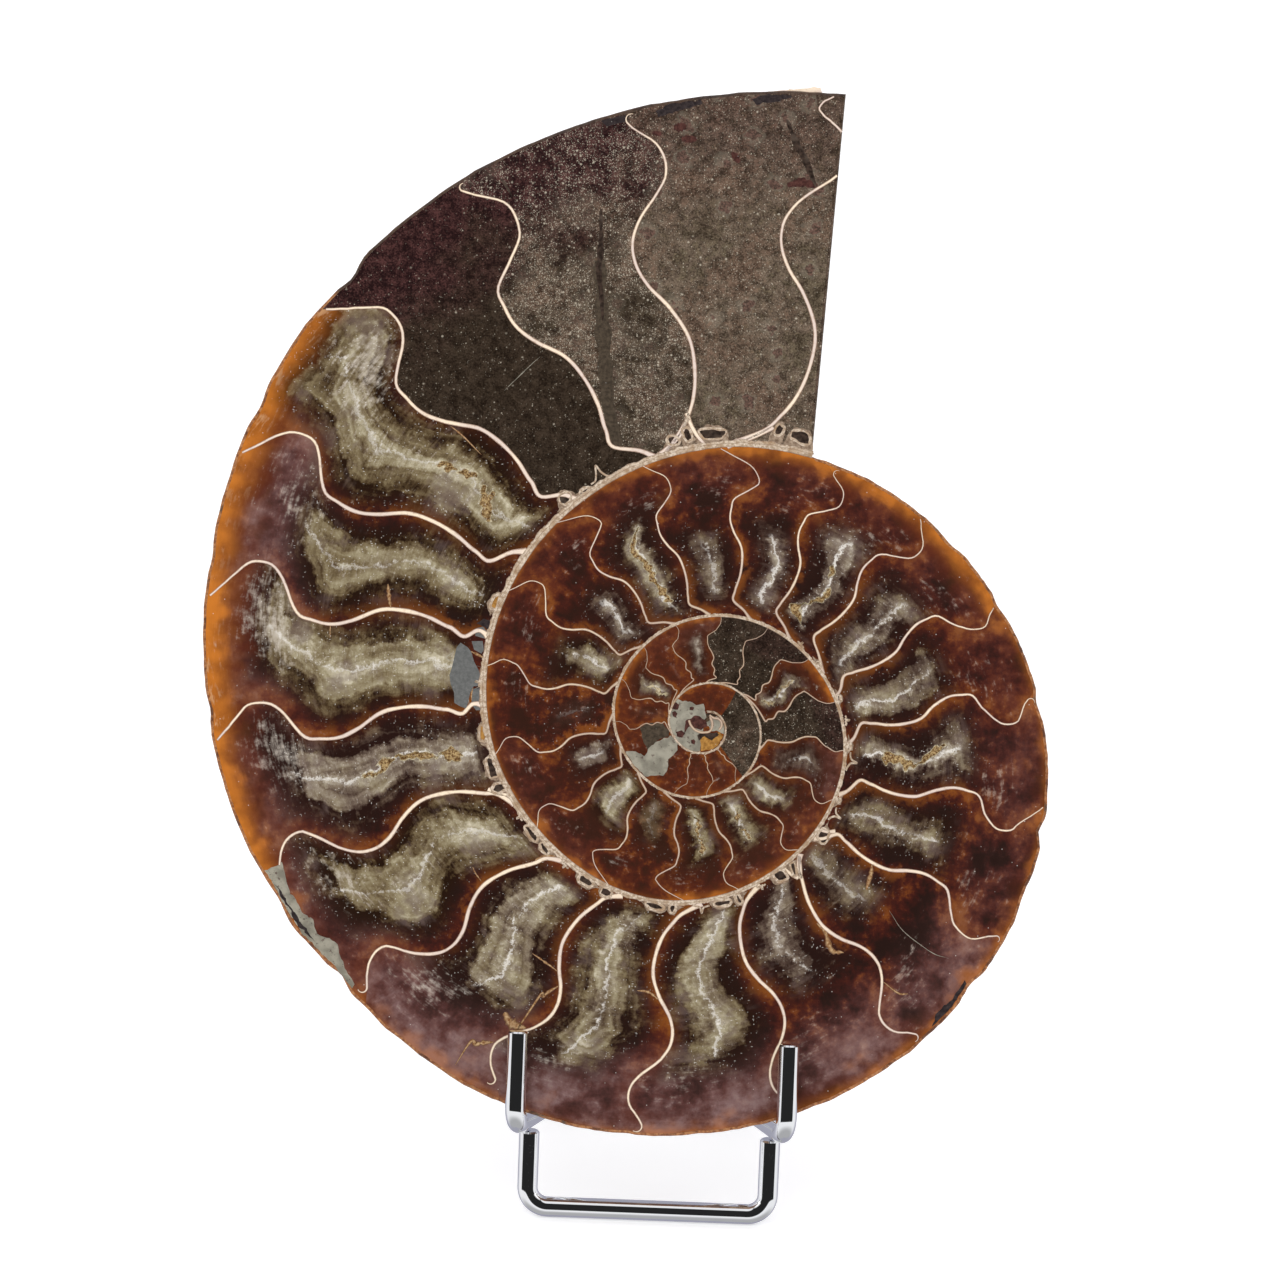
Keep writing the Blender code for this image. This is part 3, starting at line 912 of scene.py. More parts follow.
def amber_rim_with_painted_glow(finish, stone, brown):
    """The calcite's own amber under the rim, brightened with painted light that shines through the thin
    edge: orange flames that reach inwards, and a bright painted edge with pink highlights. The youngest
    whorls are warmer all over."""
    cloud, mottle, soft, fibre = stone.cloud, stone.mottle, stone.soft, stone.fibre
    rim, amber, scale = stone.rim_gap, stone.amber, stone.scale
    # The orange towards the rim is partly the calcite's own amber, partly painted light shining in through
    # the thin rim.
    reach = (rim + soft * 6 * scale + cloud * 9 * scale + mottle * .8) / stone.size - amber * .13
    lit = (mottle * .35 + soft * 1.8 + cloud * 1.2 + fibre * .3).rise(-.3, .3)
    warmth = reach.rise(.07, -.08) * (amber * .85 + .1)
    brown = finish.mix(warmth, brown, finish.mix(lit, RED_BROWN, ORANGE_BROWN))
    flame = (soft * 1.2 + cloud * 2.4 + mottle * .2 + fibre * .3 + .5 - rim / scale / 6).rise(.0, .8) * amber
    brown = finish.mix(flame * stone.near_rim, brown, finish.mix(lit, ORANGE_BROWN, ORANGE))
    # Painted light: the bright edge where light comes through the thin rim, with painted pink highlights.
    edge = rim / scale + soft * (amber + .8) + cloud * 6 * amber + mottle * .3
    edge = edge.rise(.4 + amber * 4.6, -.8) * (amber * .5 + .5) * (scale.rise(.1, .7) * .6 + .4)
    glow = (soft * .8 + mottle * .3 + cloud * 1.2 + stone.grain * .2 + amber * .2).rise(-.3, .3)
    glow = finish.mix(glow, ORANGE_BROWN, ORANGE)
    pink_highlight = (fibre * 1.4 - soft + mottle * .4).rise(.08, .36) * amber.rise(.8, 1) * .7
    brown = finish.mix(edge, brown, finish.mix(pink_highlight, glow, PINK_HIGHLIGHT))
    return finish.mix(scale.rise(.9, .25) * .4, brown, YOUNG_BROWN)


def milky_core(finish, stone, brown):
    """The banded, clouded core, from olive green to grey, that fades out into the clear brown."""
    cloud, patch, depth, scale = stone.cloud, stone.patch, stone.depth, stone.scale
    band = finish.swing(1.0, 2, .5, finish.vector(depth * .9, stone.along * .05, stone.seed * 57))
    facets = finish.cell_chance(1.3) - .5
    ray = finish.swing(1.0, 3, .6, finish.vector(depth * .35, stone.along * 1.6, stone.seed * 11))
    shade = ((depth / scale).rise(-1.4, 3.4) * .42 + (stone.wander / scale).rise(4, .2) * .22 + band * 1.0
             + cloud * 1.1 + patch * .6 + stone.mottle * .32 + stone.grain * .3 + ray * .45 + facets * .1)
    shade = (shade - .08) * (stone.milk * .5 + .6)
    greenness = (stone.olive + patch * .9 + cloud).rise(.1, .8)
    core = finish.mix(greenness, finish.ramp(shade, GREY_STONE), finish.ramp(shade, GREEN_STONE))
    core = finish.mix((cloud * 1.6 - patch + ray * .5).rise(.02, .4) * .6, core, CORE_SHADOW)
    return finish.mix((depth / scale).rise(-2.3, 1.9) * stone.milk.rise(0, .45), brown, core)


def core_crystals(finish, stone, colour):
    """The pale bloom, the white thread along the core's middle with its teeth, and soft puffs above."""
    cloud, patch, mottle, fibre, grain = stone.cloud, stone.patch, stone.mottle, stone.fibre, stone.grain
    bloom = (stone.bloom + fibre * 1.1 + patch * 1.1 + mottle * 1.0).rise(.25, 1.1)
    colour = finish.mix(bloom * .9, colour, PALE)
    within = stone.depth.rise(.5, 1.6) * stone.milk
    broken = (cloud + mottle * .9 + .14).rise(-.05, .12)
    ragged = stone.wander + grain * 1.6 * stone.scale
    thread = ragged.rise(.34, .1) * within * broken * (1.1 - stone.olive * .8)
    beside = stone.wander / stone.scale
    teeth = (fibre * 2.6 + mottle * 1.2 - .1 - beside).rise(-.02, .2) * within * (1.1 - stone.olive * .7)
    colour = finish.mix((thread + teeth * .7).least(.9), colour, WHITE)
    around = beside.rise(3.6, .5) * (fibre * .8 + mottle * .5 + grain * .5).rise(.06, .22) * within
    colour = finish.mix(around * .5, colour, PALE)
    puffs = (patch * 1.6 + cloud + fibre * .4 + grain * .4).rise(.12, .5) * stone.near_rim
    puffs = puffs * stone.rim_gap.rise(1.5, 5)
    return finish.mix(puffs * .35 * (stone.haze * .9 + .1), colour, PUFF)


def pits_and_specks(finish, stone, crystals, colour):
    """Sugary crystals in the pits, dashes across the core and fine white specks."""
    pit, older = stone.pit, stone.scale.rise(.25, .9)
    sugar = finish.mix(crystals.rise(.4, .62), *PIT_CRYSTALS)
    colour = finish.mix(pit.rise(.03, .12) * pit.rise(.3, .14), colour, PIT_EDGE)
    colour = finish.mix(pit.rise(.12, .3), colour, sugar)
    near_core = stone.depth.rise(-3.2, .6)
    in_patches = (stone.patch + stone.grain).rise(-.14, .1)
    for stretch, size, few in DASHES:
        dashes = specks(finish, 1.15, size, few, finish.place(*stretch))
        colour = finish.mix(dashes * near_core * in_patches * older * .7, colour, WHITE)
    return finish.mix(specks(finish, 1.2, .13, .88) * (older * .4 + .2), colour, WHITE)


def calcite_finish():
    """Clear brown calcite, milky in the middle of each chamber and amber at the rim."""
    finish = Finish("polished_calcite", .14, Specular_IOR_Level=.3)
    stone = calcite_stone(finish)
    crystals = finish.noise(3.0, 3, .75)
    brown = amber_rim_with_painted_glow(finish, stone, misty_rim(finish, stone, clear_brown(finish, stone)))
    colour = core_crystals(finish, stone, milky_core(finish, stone, brown))
    colour = pits_and_specks(finish, stone, crystals, colour)
    return finish.done(colour, crystals * stone.pit.rise(.05, .3), .3,
                       roughness=stone.pit.rise(.05, .3) * .35 + .13 + stone.grain * .08)


def sediment_finish():
    """Fine brown sediment, set hard and polished, with pale grains and small dark voids."""
    finish = Finish("polished_sediment", .3, Specular_IOR_Level=.2)
    pale, purple, grains, rim, size = finish.values("pale purple grains rim_gap size")
    cloud = finish.swing(.11, 3, .55)
    patch = finish.swing(.5, 4, .6)
    tint = finish.swing(.9, 3, .6)
    grain = finish.swing(3.6, 4, .8)
    sand = finish.cell_chance(4.2) - .5
    texture = grain * 1.4 + sand * .28 + patch * 1.1 + tint * .5

    dark = finish.mix(texture.rise(-.35, .4), (.011, .006, .003), (.044, .029, .018))
    light = finish.mix(texture.rise(-.4, .46), (.034, .022, .014), (.180, .131, .091))
    light = finish.mix((tint * 1.4 + cloud * 2.2).rise(-.06, .3) * .6, light, (1, .82, .78), "MULTIPLY")
    greenish = (tint * 1.2 - cloud * 1.6 - patch).rise(.04, .34) * .6
    light = finish.mix(greenish, light, (1.02, 1.12, .96), "MULTIPLY")
    colour = finish.mix((pale + (cloud * 1.6 + patch * .5) * pale.rise(0, .5)).rise(0, 1), dark, light)
    tinge = ((rim + cloud * 26 + patch * 4) / size).rise(.4, .1) * purple
    purple_stone = finish.mix(texture.rise(-.2, .4), (.014, .004, .005), (.085, .029, .028))
    colour = finish.mix(tinge * .9, colour, purple_stone)

    clumps = (cloud * 1.5 + patch * 1.6 + .4).rise(.0, .7) * grains
    for scale, spread in ((1.5, .1), (2.5, .4), (3.7, .7), (5.2, .8)):
        shown = (finish.cells(scale) + grain * .7).rise(.36, .12)
        kept = (finish.cell_chance(scale) + clumps * spread + grains * .05).rise(.96, 1.02)
        colour = finish.mix(shown * kept * .7, colour, (.50, .44, .34))
    hole = finish.cells(.2, dimensions="2D") + patch * .9 + tint * .35
    kept = finish.cell_chance(.2, dimensions="2D").rise(.55, .57) * pale.rise(.4, .8)
    colour = finish.mix(hole.rise(.36, .2) * kept * .25, colour, (.27, .23, .17))
    colour = finish.mix(hole.rise(.19, .13) * kept * .8, colour,
                        finish.mix(sand.rise(-.5, .5), (.04, .022, .016), (.13, .065, .05)))
    return finish.done(colour, grain * .6 + hole.rise(.1, .21) * .5, .05, roughness=.24 + grain * .2)


def septum_finish():
    """Cream shell of the septa, cut across, with finer amber edges."""
    finish = Finish("cream_shell", .28)
    grain = finish.noise(1.4, 4, .6)
    warm = finish.noise(.1, 2)
    across = abs(finish.value("across"))
    cream = finish.mix(warm.rise(.4, .6), (.70, .57, .49), (.86, .71, .53))
    cream = finish.mix(grain.rise(.52, .72) * .5, cream, (.52, .36, .24))
    from_pole = finish.node("ShaderNodeVectorMath", {"operation": "LENGTH"}, {0: finish.here}, "Value")
    cream = finish.mix(from_pole.rise(36, 12) * .75, cream, (.40, .28, .185))
    edge = (across + (grain - .5) * .5).rise(.55, 1.0)
    return finish.done(finish.mix(edge * .8, cream, (.20, .095, .045)), grain, .02)


def wall_finish():
    """The coil's wall: two cream layers with a darker seam between them."""
    finish = Finish("coil_wall_shell", .32)
    grain = finish.noise(2.0, 5, .65)
    patch = finish.noise(.5, 3)
    across = finish.value("across") + (patch - .5) * .5
    seam = abs(across + .1).rise(.16, .04)
    edge = abs(across).rise(.78, 1.05)
    shell = finish.mix(grain.rise(.38, .62), (.34, .235, .15), (.66, .545, .42))
    shell = finish.mix(patch.rise(.5, .62) * .6, shell, (.30, .17, .075))
    shell = finish.mix(seam * .6, shell, (.19, .11, .06))
    return finish.done(finish.mix(edge * .7, shell, (.13, .07, .04)), grain, .05)


def grey_green_finish():
    """Dense grey-green mineral with dark flecks."""
    finish = Finish("grey_green_mineral", .3)
    grain = finish.noise(1.6, 5, .6)
    patch = finish.noise(.5, 3)
    fleck = finish.noise(1.1, 4, .7)
    colour = finish.mix(patch.rise(.35, .65), (.185, .168, .128), (.315, .29, .225))
    colour = finish.mix(fleck.rise(.58, .66) * .8, colour, (.07, .032, .026))
    colour = finish.mix(grain.rise(.62, .7), colour, (.045, .028, .024))
    return finish.done(colour, grain, .03)


def slate_finish(name, dark, light):
    """Fine stone of one colour, cut smooth, with a few pale grains."""
    finish = Finish(name, .35, Specular_IOR_Level=.2)
    grain = finish.noise(1.6, 5, .65)
    colour = finish.mix(grain.rise(.3, .7), dark, light)
    colour = finish.mix(specks(finish, 1.5, .16, .8) * .6, colour, (.34, .33, .30))
    return finish.done(colour, grain, .04)


def hollow_shade_finish():
    """Painted shade inside a hollow flute or an unfilled slit: dark grain with a few paler patches."""
    finish = Finish("painted_hollow_shade", .4, Specular_IOR_Level=.15)
    grain = finish.noise(1.5, 4)
    patch = finish.noise(.45, 2)
    colour = finish.mix(grain.rise(.35, .65), (.016, .009, .006), (.055, .034, .024))
    return finish.done(finish.mix(patch.rise(.5, .7) * .6, colour, (.085, .062, .046)), grain, .08)


def vein_finish():
    """Golden calcite in thin veins and in the smallest hollows."""
    finish = Finish("golden_calcite", .22)
    grain = finish.noise(1.8, 4, .65)
    across = abs(finish.value("across"))
    colour = finish.mix(grain.rise(.35, .65), (.20, .085, .025), (.50, .33, .17))
    edge = (across + (grain - .5) * .9).rise(.35, .95)
    return finish.done(finish.mix(edge * .8, colour, (.085, .028, .012)), grain, .04)


def outside_finish():
    """The shell's polished outside: brown and pearly, with growth lines, suture lines and painted shade in
    the umbilical seam.
    """
    finish = Finish("pearly_outside", .25, Coat_Weight=.3, Coat_Roughness=.08)
    turned, across, count = finish.values("turned across count")
    cloud = finish.noise(.07, 4, .6)
    patch = finish.noise(.3, 5, .6)
    grain = finish.noise(1.8, 4, .6)
    growth = finish.noise(1.0, 3, .6, finish.vector(turned * 1.6 + across * 6, across * 1.5, 0))
    brown = finish.mix(patch.rise(.3, .7), (.055, .020, .010), (.175, .068, .030))
    brown = finish.mix(growth.rise(.45, .7) * .6, brown, (.25, .115, .055))
    pearl = finish.mix(growth.rise(.3, .7), (.27, .175, .105), (.46, .35, .25))
    shown = (cloud + (patch - .5) * .35 + (growth - .5) * .2).rise(.42, .72)
    colour = finish.mix(shown * .8, brown, pearl)
    # Painted shade: darker down each whorl's umbilical side, into the seam where it meets the whorl inside
    # it.
    colour = finish.mix(across.rise(.16, .0) * .7, colour, (.05, .022, .012))
    hue = finish.noise(.11, 3, .5, distortion=.4)
    sheen = finish.ramp(hue, [(.3, (.42, .12, .07)), (.43, (.50, .36, .14)), (.54, (.22, .36, .17)),
                              (.66, (.19, .27, .36)), (.8, (.42, .20, .30))])
    colour = finish.mix(shown * growth.rise(.4, .62) * .35, colour, sheen)
    lobes = (across * 26).sine() * .16 + (across * 61 + patch * 4).sine() * .09 + (patch - .5) * .35
    suture = abs((count + lobes).fraction() - .5)
    colour = finish.mix(suture.rise(.035, .012) * .8, colour, (.05, .022, .012))
    colour = finish.mix(grain.rise(.6, .75) * .35, colour, (.07, .03, .016))
    return finish.done(colour, growth * .7 + grain * .3, .2, roughness=.2 + grain * .15)


def rim_finish():
    """The thin outer edge, where the shell's layers show."""
    finish = Finish("rim_layers", .3)
    depth, turned = finish.values("depth turned")
    cloud = finish.noise(.2, 4, .6)
    grain = finish.noise(1.6, 4, .65)
    amber = finish.mix(cloud.rise(.3, .65), (.13, .045, .018), (.42, .18, .06))
    dark = finish.mix(grain.rise(.3, .7), (.010, .008, .010), (.045, .036, .032))
    layer = (depth * 2.2 + grain * .7).fraction().rise(.2, .6)
    colour = finish.mix(layer * .6, amber, (.30, .22, .14))
    muddy = turned.rise(54, 52.5).most(cloud.rise(.6, .68))
    clear = finish.mix(grain.rise(.35, .65), (.16, .045, .012), (.46, .2, .07))
    clear = finish.mix(cloud.rise(.45, .36) * .8, clear, (.07, .02, .01))
    colour = finish.mix(depth.rise(.3, .0) * .85, colour, finish.mix(muddy, clear, dark))
    return finish.done(colour, grain, .12)


def mouth_finish():
    """The mouth, sawn across: sediment within the cut edge of the shell."""
    finish = Finish("sawn_mouth_sediment", .45)
    shell = finish.value("shell_gap")
    cloud = finish.noise(.15, 4, .6)
    grain = finish.noise(2.2, 6, .72)
    saw = finish.noise(1.0, 2, place=finish.place(.02, .02, 3.0))
    colour = finish.mix(cloud.rise(.3, .65), (.035, .028, .022), (.12, .10, .078))
    colour = finish.mix(grain.rise(.35, .7) * .6, colour, (.22, .185, .145))
    colour = finish.mix(shell.rise(1.3, .7), colour, (.13, .05, .022))
    colour = finish.mix(shell.rise(.75, .4), colour, (.52, .40, .29))
    return finish.done(colour, grain * .6 + saw * .6, .06)


def chrome_finish():
    """Chromium plate, with the faint waviness and hairlines of a cheap wire stand."""
    finish = Finish("bright_chrome", .05)
    wave = finish.noise(.25, 2)
    hairline = finish.noise(1.0, 3, .7, finish.place(6, 6, .6))
    finish.set("Metallic", 1.0)
    colour = finish.mix(wave, (.86, .87, .89), (.93, .93, .94))
    return finish.done(colour, wave, .02, .4, roughness=.03 + hairline.rise(.55, .8) * .12)


def floor_finish():
    finish = Finish("pale_floor", .6)
    grain = finish.noise(.004, 2)
    finish.set("Base Color", finish.mix(grain, (.93, .93, .95), (.96, .96, .97)))
    finish.set("Emission Color", (1.0, 1.0, 1.0))
    finish.set("Emission Strength", .3)
    return finish


# ---------------------------------------------------------------- the sawn face

def pole_frame():
    """The sawn face as a frame: X across it, Y up it and Z out of it, from the coil's pole."""
    mount = next(mount for mount in frame["record"]["mounts"] if mount["name"] == "polished_face")
    outwards = Vector(mount["axis"]).normalized()
    up = outwards.cross(Vector((1, 0, 0)))
    turn = Matrix((Vector((1, 0, 0)), up, outwards)).transposed().to_4x4()
    return Matrix.Translation(Vector(mount["pos_m"])) @ turn


def chamber_scale(size):
    """How coarse a chamber's stone is, against the biggest ones'."""
    return (size / BIG_CHAMBER) ** .7


def core_field(filling, across, share, number, width, size):
    """How far each point is inside the chamber's milky core, in millimetres, and the core's middle."""
    outer_bend = np.clip((share - .5) / .35, 0, 1) ** 2
    middle = filling.side + .05 * np.sin(share * 9 + number * 1.7) - CORE_BEND * outer_bend
    beside = np.minimum(filling.wide * width, CORE_HALF_WIDTH * size) - np.abs(across - middle) * width
    ends = np.minimum(share - filling.start, filling.end - share) * size
    nearest = np.minimum(beside, ends)
    corner = CORE_CORNER * np.exp(-np.abs(beside - ends) / CORE_CORNER_REACH)
    return np.clip(nearest - corner, -CORE_RANGE, CORE_RANGE), middle


def pit_depths(number, line, share, size):
    """How far the crystal-lined hollow along a chamber's middle sinks below the polish."""
    if number not in PITTED:
        return np.zeros(len(line))
    start, end = PITTED[number]
    grown = chamber_scale(size)
    depths = []
    for distance, out in zip(line, share):
        along = out * size / grown
        wander = chance(along * .16, number) * 2.4 * grown
        ragged = chance(along * .9, distance * .9, number) * .8 * grown
        ends = min(1, max(0, min(out - start, end - out) / .08)) ** .5
        half_width = (chance(along * .3, number, 9) * 1.5 + .62) * grown * ends
        hollow = min(1, (half_width - abs(distance + wander + ragged)) / (.35 * grown))
        crystal = .55 + .45 * abs(chance(along * 1.7, distance * 1.7, number))
        depths.append(max(0, hollow) * crystal)
    return np.array(depths) * PIT_DEPTH * grown


def spacing_of(size, spacing):
    """Distance between a filling's points in a whorl of this size."""
    parts, least, most = spacing
    return np.clip(size / parts, least, most)


def add_filling(shape, grid, sunk, **values):
    """Adds one chamber's filling, sunk this far below the polish, with values at its points or all over."""
    points, faces, edge = slab(np.column_stack([grid.flat, -sunk]), grid.rows, grid.columns, FILLING_DEPTH)
    values["rim_gap"] = wall_radius(grid.turned) - np.hypot(*grid.flat.T)
    shape.add(points, faces, **{name: np.concatenate([value, value[edge]]) if np.ndim(value) else value
                                for name, value in values.items()})


def fill_calcite():
    shape = Shape()
    random = np.random.default_rng(7)
    for number, filling in CALCITE.items():
        size = chamber_size(number)
        fineness = PITTED_FINENESS if number in PITTED else 1
        grid = chamber_grid(number, spacing_of(size, CALCITE_SPACING) * fineness)
        before, after = gap_to(grid.mouth_side, grid.flat), gap_to(grid.far_side, grid.flat)
        width = before + after
        across = before / np.maximum(width, 1e-6)
        inside, middle = core_field(filling, across, grid.share, number, width, size)
        line = (across - middle) * width
        bloom_gap = np.hypot((across - BLOOM_SIDE) * width, (grid.share - BLOOM_SHARE) * size)
        pit = pit_depths(number, line, grid.share, size)
        add_filling(
            shape, grid, pit, before_gap=before, after_gap=after, inside=inside, line=line, pit=pit,
            coil_gap=np.hypot(*grid.flat.T) - wall_radius(grid.turned + 360), along=grid.share * size,
            milk=filling.milk, olive=filling.olive, amber=filling.amber, gloom=filling.gloom,
            haze=filling.haze, bloom=filling.bloom * np.clip(1 - bloom_gap / (BLOOM_SIZE * size), 0, 1),
            size=size, scale=chamber_scale(size), seed=random.random())
    return shape


def fill_plain(numbers, values_of):
    """Fillings with no core: only how far they are from the rim, and their own values."""
    shape = Shape()
    for number in numbers:
        size = chamber_size(number)
        grid = chamber_grid(number, spacing_of(size, PLAIN_SPACING))
        add_filling(shape, grid, np.zeros(len(grid.flat)), size=size, **values_of(number))
    return shape


def sediment_values(number):
    """A sediment chamber's own values, by name."""
    return dict(zip(("pale", "purple", "grains"), SEDIMENT[number]))


def curled(path, size):
    """The path with its end turned back clockwise in a small hook."""
    ahead = path[-1] - path[-3]
    heading = math.atan2(ahead[1], ahead[0])
    extra = [path[-1]]
    for _ in range(CURL_STEPS):
        heading -= CURL_TURN
        extra.append(extra[-1] + size * CURL_STEP * np.array([math.cos(heading), math.sin(heading)]))
    return np.vstack([path, extra[1:]])


def septum_widths(number, share):
    """Width of a septum: flared at its foot, thinner towards its tip and uneven between."""
    turned = SEPTA[number].turned
    thinning = .6 * np.clip((share - .55) / .45, 0, 1) * (1 if turned > YOUNGER_SEPTA else .75)
    flare = 1 + 1.2 * np.exp(-share / .02)
    uneven = 1 + np.array([.22 * chance(out * 14, number) for out in share])
    return np.interp(turned, SEPTUM_PLACES, SEPTUM_WIDTHS) * (1 - thinning) * flare * uneven


def septa_shape():
    shape = Shape()
    for number in range(1, LAST_SEPTUM + 1):
        septum = SEPTA[number]
        share = np.linspace(SEPTUM_START, septum.reach, SEPTUM_STEPS)
        turned = septum_turned(number, share)
        path, widths = on_coil(turned, share, LIP), septum_widths(number, share)
        if number == 1:
            kept = (turned > mouth_turned(share, LIP_BEVEL)) & (share < FIRST_SEPTUM_REACH)
            path, widths = path[kept], widths[kept]
        if septum.curl:
            path = curled(path, septum.curl)
            widths = np.append(widths, widths[-1] * np.linspace(.9, .35, len(path) - len(widths)))
        shape.band(path, widths, top=PROUD * 1.8)
    for foot in FEET:
        path = on_coil(*fine_path(foot, .12).T, LIP)
        wide = OUTER_END_WIDTH if foot[0][1] > .5 else FOOT_WIDTH
        shape.band(path, np.linspace(wide, wide * .7, len(path)), top=PROUD * 1.8)
    for curl in START_CURLS:
        shape.band(fine_path(curl, .1), START_CURL_WIDTH, top=PROUD * 3)
    return shape


def fine_path(corners, step):
    """A smooth path through these points, with about this step between its own."""
    corners = np.asarray(corners, float)
    reached = np.concatenate([[0], np.cumsum(np.linalg.norm(np.diff(corners, axis=0), axis=1))])
    at = np.linspace(0, reached[-1], max(3, int(reached[-1] / step)))
    return np.column_stack([smooth_curve(at, reached, corners[:, axis]) for axis in (0, 1)])


def plate(outline, top, bottom=-STRIP_DEPTH):
    """A closed flat body with this outline."""
    outline = np.asarray(outline)
    if np.sum(np.cross(outline, np.roll(outline, -1, axis=0))) < 0:
        outline = outline[::-1]
    count = len(outline)
    points = [(x, y, height) for height in (bottom, top) for x, y in outline]
    sides = grid_faces(2, count, closed=True)
    return points, [*sides, tuple(range(count, 2 * count)), tuple(reversed(range(count)))]


def broken_outline(corners, step=.45, rough=.16, seed=0.0):
    """A closed outline through these points, with its edge broken unevenly."""
    corners = np.asarray(corners, float)
    path = []
    for start, end in zip(corners, np.roll(corners, -1, axis=0)):
        count = max(1, int(np.linalg.norm(end - start) / step))
        path += [start + (end - start) * part / count for part in range(count)]
    return [(x + rough * chance(x * 1.4, y * 1.4, seed) * 2,
             y + rough * chance(x * 1.4, y * 1.4, seed + 9) * 2) for x, y in path]


def patches(outlines, top, step=.45, rough=.16):
    """Flat patches set in the face, from outlines of places along the coil and shares of the way out."""
    shape = Shape()
    for number, outline in enumerate(outlines):
        turned, share = np.array(outline).T
        corners = on_coil(turned, share, LIP)
        shape.add(*plate(broken_outline(corners, step, rough, number * 3.7), top))
    return shape


def lines(rows, top, ends=.15, rough=.3):
    """Narrow bands along paths of places and shares, thin at their ends and uneven between."""
    shape = Shape()
    for number, (corners, width) in enumerate(rows):
        path = on_coil(*fine_path(corners, .05).T, LIP)
        along = np.linspace(0, 1, len(path))
        swell = ends + (1 - ends) * np.sin(along * math.pi) ** .6
        uneven = np.array([1 + rough * 2 * chance(place * 9, number) for place in along])
        shape.band(path, width * swell * uneven, top=top)
    return shape


def beside_wall(turned, corners):
    """Points beside the coil's first inner wall, from places along it and heights above its middle."""
    radius = float(wall_radius(turned + 360)) + float(np.interp(turned, LIFT_PLACES, FLUTE_LIFTS))
    angle = math.radians(MOUTH_CORNER_ANGLE + turned)
    out = np.array([math.cos(angle), math.sin(angle)])
    along = np.array([-out[1], out[0]])
    return np.array([out * (radius + height) + along * place for place, height in corners])


def flute_outline(flute, shrink=0.0):
    """A rounded oblong beside the wall, leaning a little with the fold it belongs to."""
    corners = []
    for turn in np.arange(FLUTE_STEPS) * 2 * math.pi / FLUTE_STEPS:
        place, height = (
            math.copysign(abs(way) ** (2.0 / FLUTE_SQUARENESS), way) * (size / 2 - shrink)
            for way, size in ((math.cos(turn), flute.length), (math.sin(turn), flute.height)))
        uneven = 1 + FLUTE_UNEVENNESS * chance(math.cos(turn) * 1.3, math.sin(turn) * 1.3, flute.turned)
        lean = FLUTE_LEAN * height * math.sin(flute.turned * 1.7)
        corners.append(((place + lean) * uneven, flute.rise + height * uneven))
    return beside_wall(flute.turned, corners)


def flute_crusts():
    """The shell between each flute and the wall, wide at its foot."""
    shape = Shape()
    for flute in FLUTES:
        half, top = flute.length / 2, flute.rise + flute.height / 2
        arch = [(-half - 1.1, .1), (-half - .45, .5), (-half - .2, top * .7), (-half * .6, top + .22),
                (half * .6, top + .22), (half + .2, top * .7), (half + .45, .5), (half + 1.1, .1)]
        outline = broken_outline(beside_wall(flute.turned, arch), .3, .14, flute.turned)
        shape.add(*plate(outline, PROUD * 1.2))
    return shape


def flute_rims():
    shape = Shape()
    for flute in FLUTES:
        outline = flute_outline(flute, .14)
        widths = [.46 + .3 * chance(x * .9, y * .9, flute.turned) for x, y in outline]
        shape.band(outline, np.array(widths), top=PROUD * 2.5, closed=True)
    for turned, width, height in SPURS:
        peak = [(-width * .75, .4), (-width * .4, .55), (-width * .1, height * .6),
                (width * .08, height + .4), (width * .3, height * .55), (width * .5, .55),
                (width * .8, .4)]
        path = fine_path(beside_wall(turned, peak), .15)
        shape.band(path, np.linspace(*SPUR_WIDTHS, len(path)), top=PROUD * 2.5)
    return shape


def flute_fillings(wanted):
    shape = Shape()
    for flute in FLUTES:
        if (flute.turned in AMBER_FLUTES) == wanted:
            shape.add(*plate(flute_outline(flute, .2), PROUD * 1.7))
    return shape


def coil_wall_shape():
    shape = Shape()
    turned = np.arange(JUNCTION_TURNED, WHORLS * 360, WALL_SPACING)
    rough = unevenness(turned, WALL_ROUGHNESS)
    width = wall_width(turned) * (1 + rough * 1.5)
    shift = np.interp(turned, SHIFT_PLACES, WALL_SHIFTS)
    path = at_angle(wall_radius(turned) + shift + rough * .6 * wall_width(turned), turned)
    shape.band(path, width, top=PROUD * 2)
    return shape


def splinter_shape():
    shape = Shape()
    turned, height = np.array(SPLINTER).T
    outline = broken_outline(at_angle(wall_radius(turned) + height, turned), .5, .08)
    shape.add(*plate(outline, SPLINTER_TOP, SPLINTER_BOTTOM))
    return shape


def start_of_coil(outline, top):
    shape = Shape()
    shape.add(*plate(broken_outline(outline, .3, .12, top * 90), top))
    return shape


# ---------------------------------------------------------------- the outside

def whorl_across(radius, turned):
    outer = wall_radius(turned)
    inner = UMBILICUS_SHARE * outer
    return (radius - inner) / (outer - inner)


def whorl_depth(radius, turned):
    """Half thickness of one whorl at this radius, with a rounded venter and a steep inner wall."""
    across = whorl_across(radius, turned)
    kept = np.clip(across, 0, 1)
    flank = (1 - kept ** VENTER_SHARPNESS) ** VENTER_ROUNDNESS
    inner_wall = np.sqrt(1 - (1 - kept) ** UMBILICAL_WALL_STEEPNESS)
    depth = HALF_THICKNESS_SHARE * wall_radius(turned) * flank * inner_wall
    return np.where((across > 0) & (across < 1), depth, 0.0)


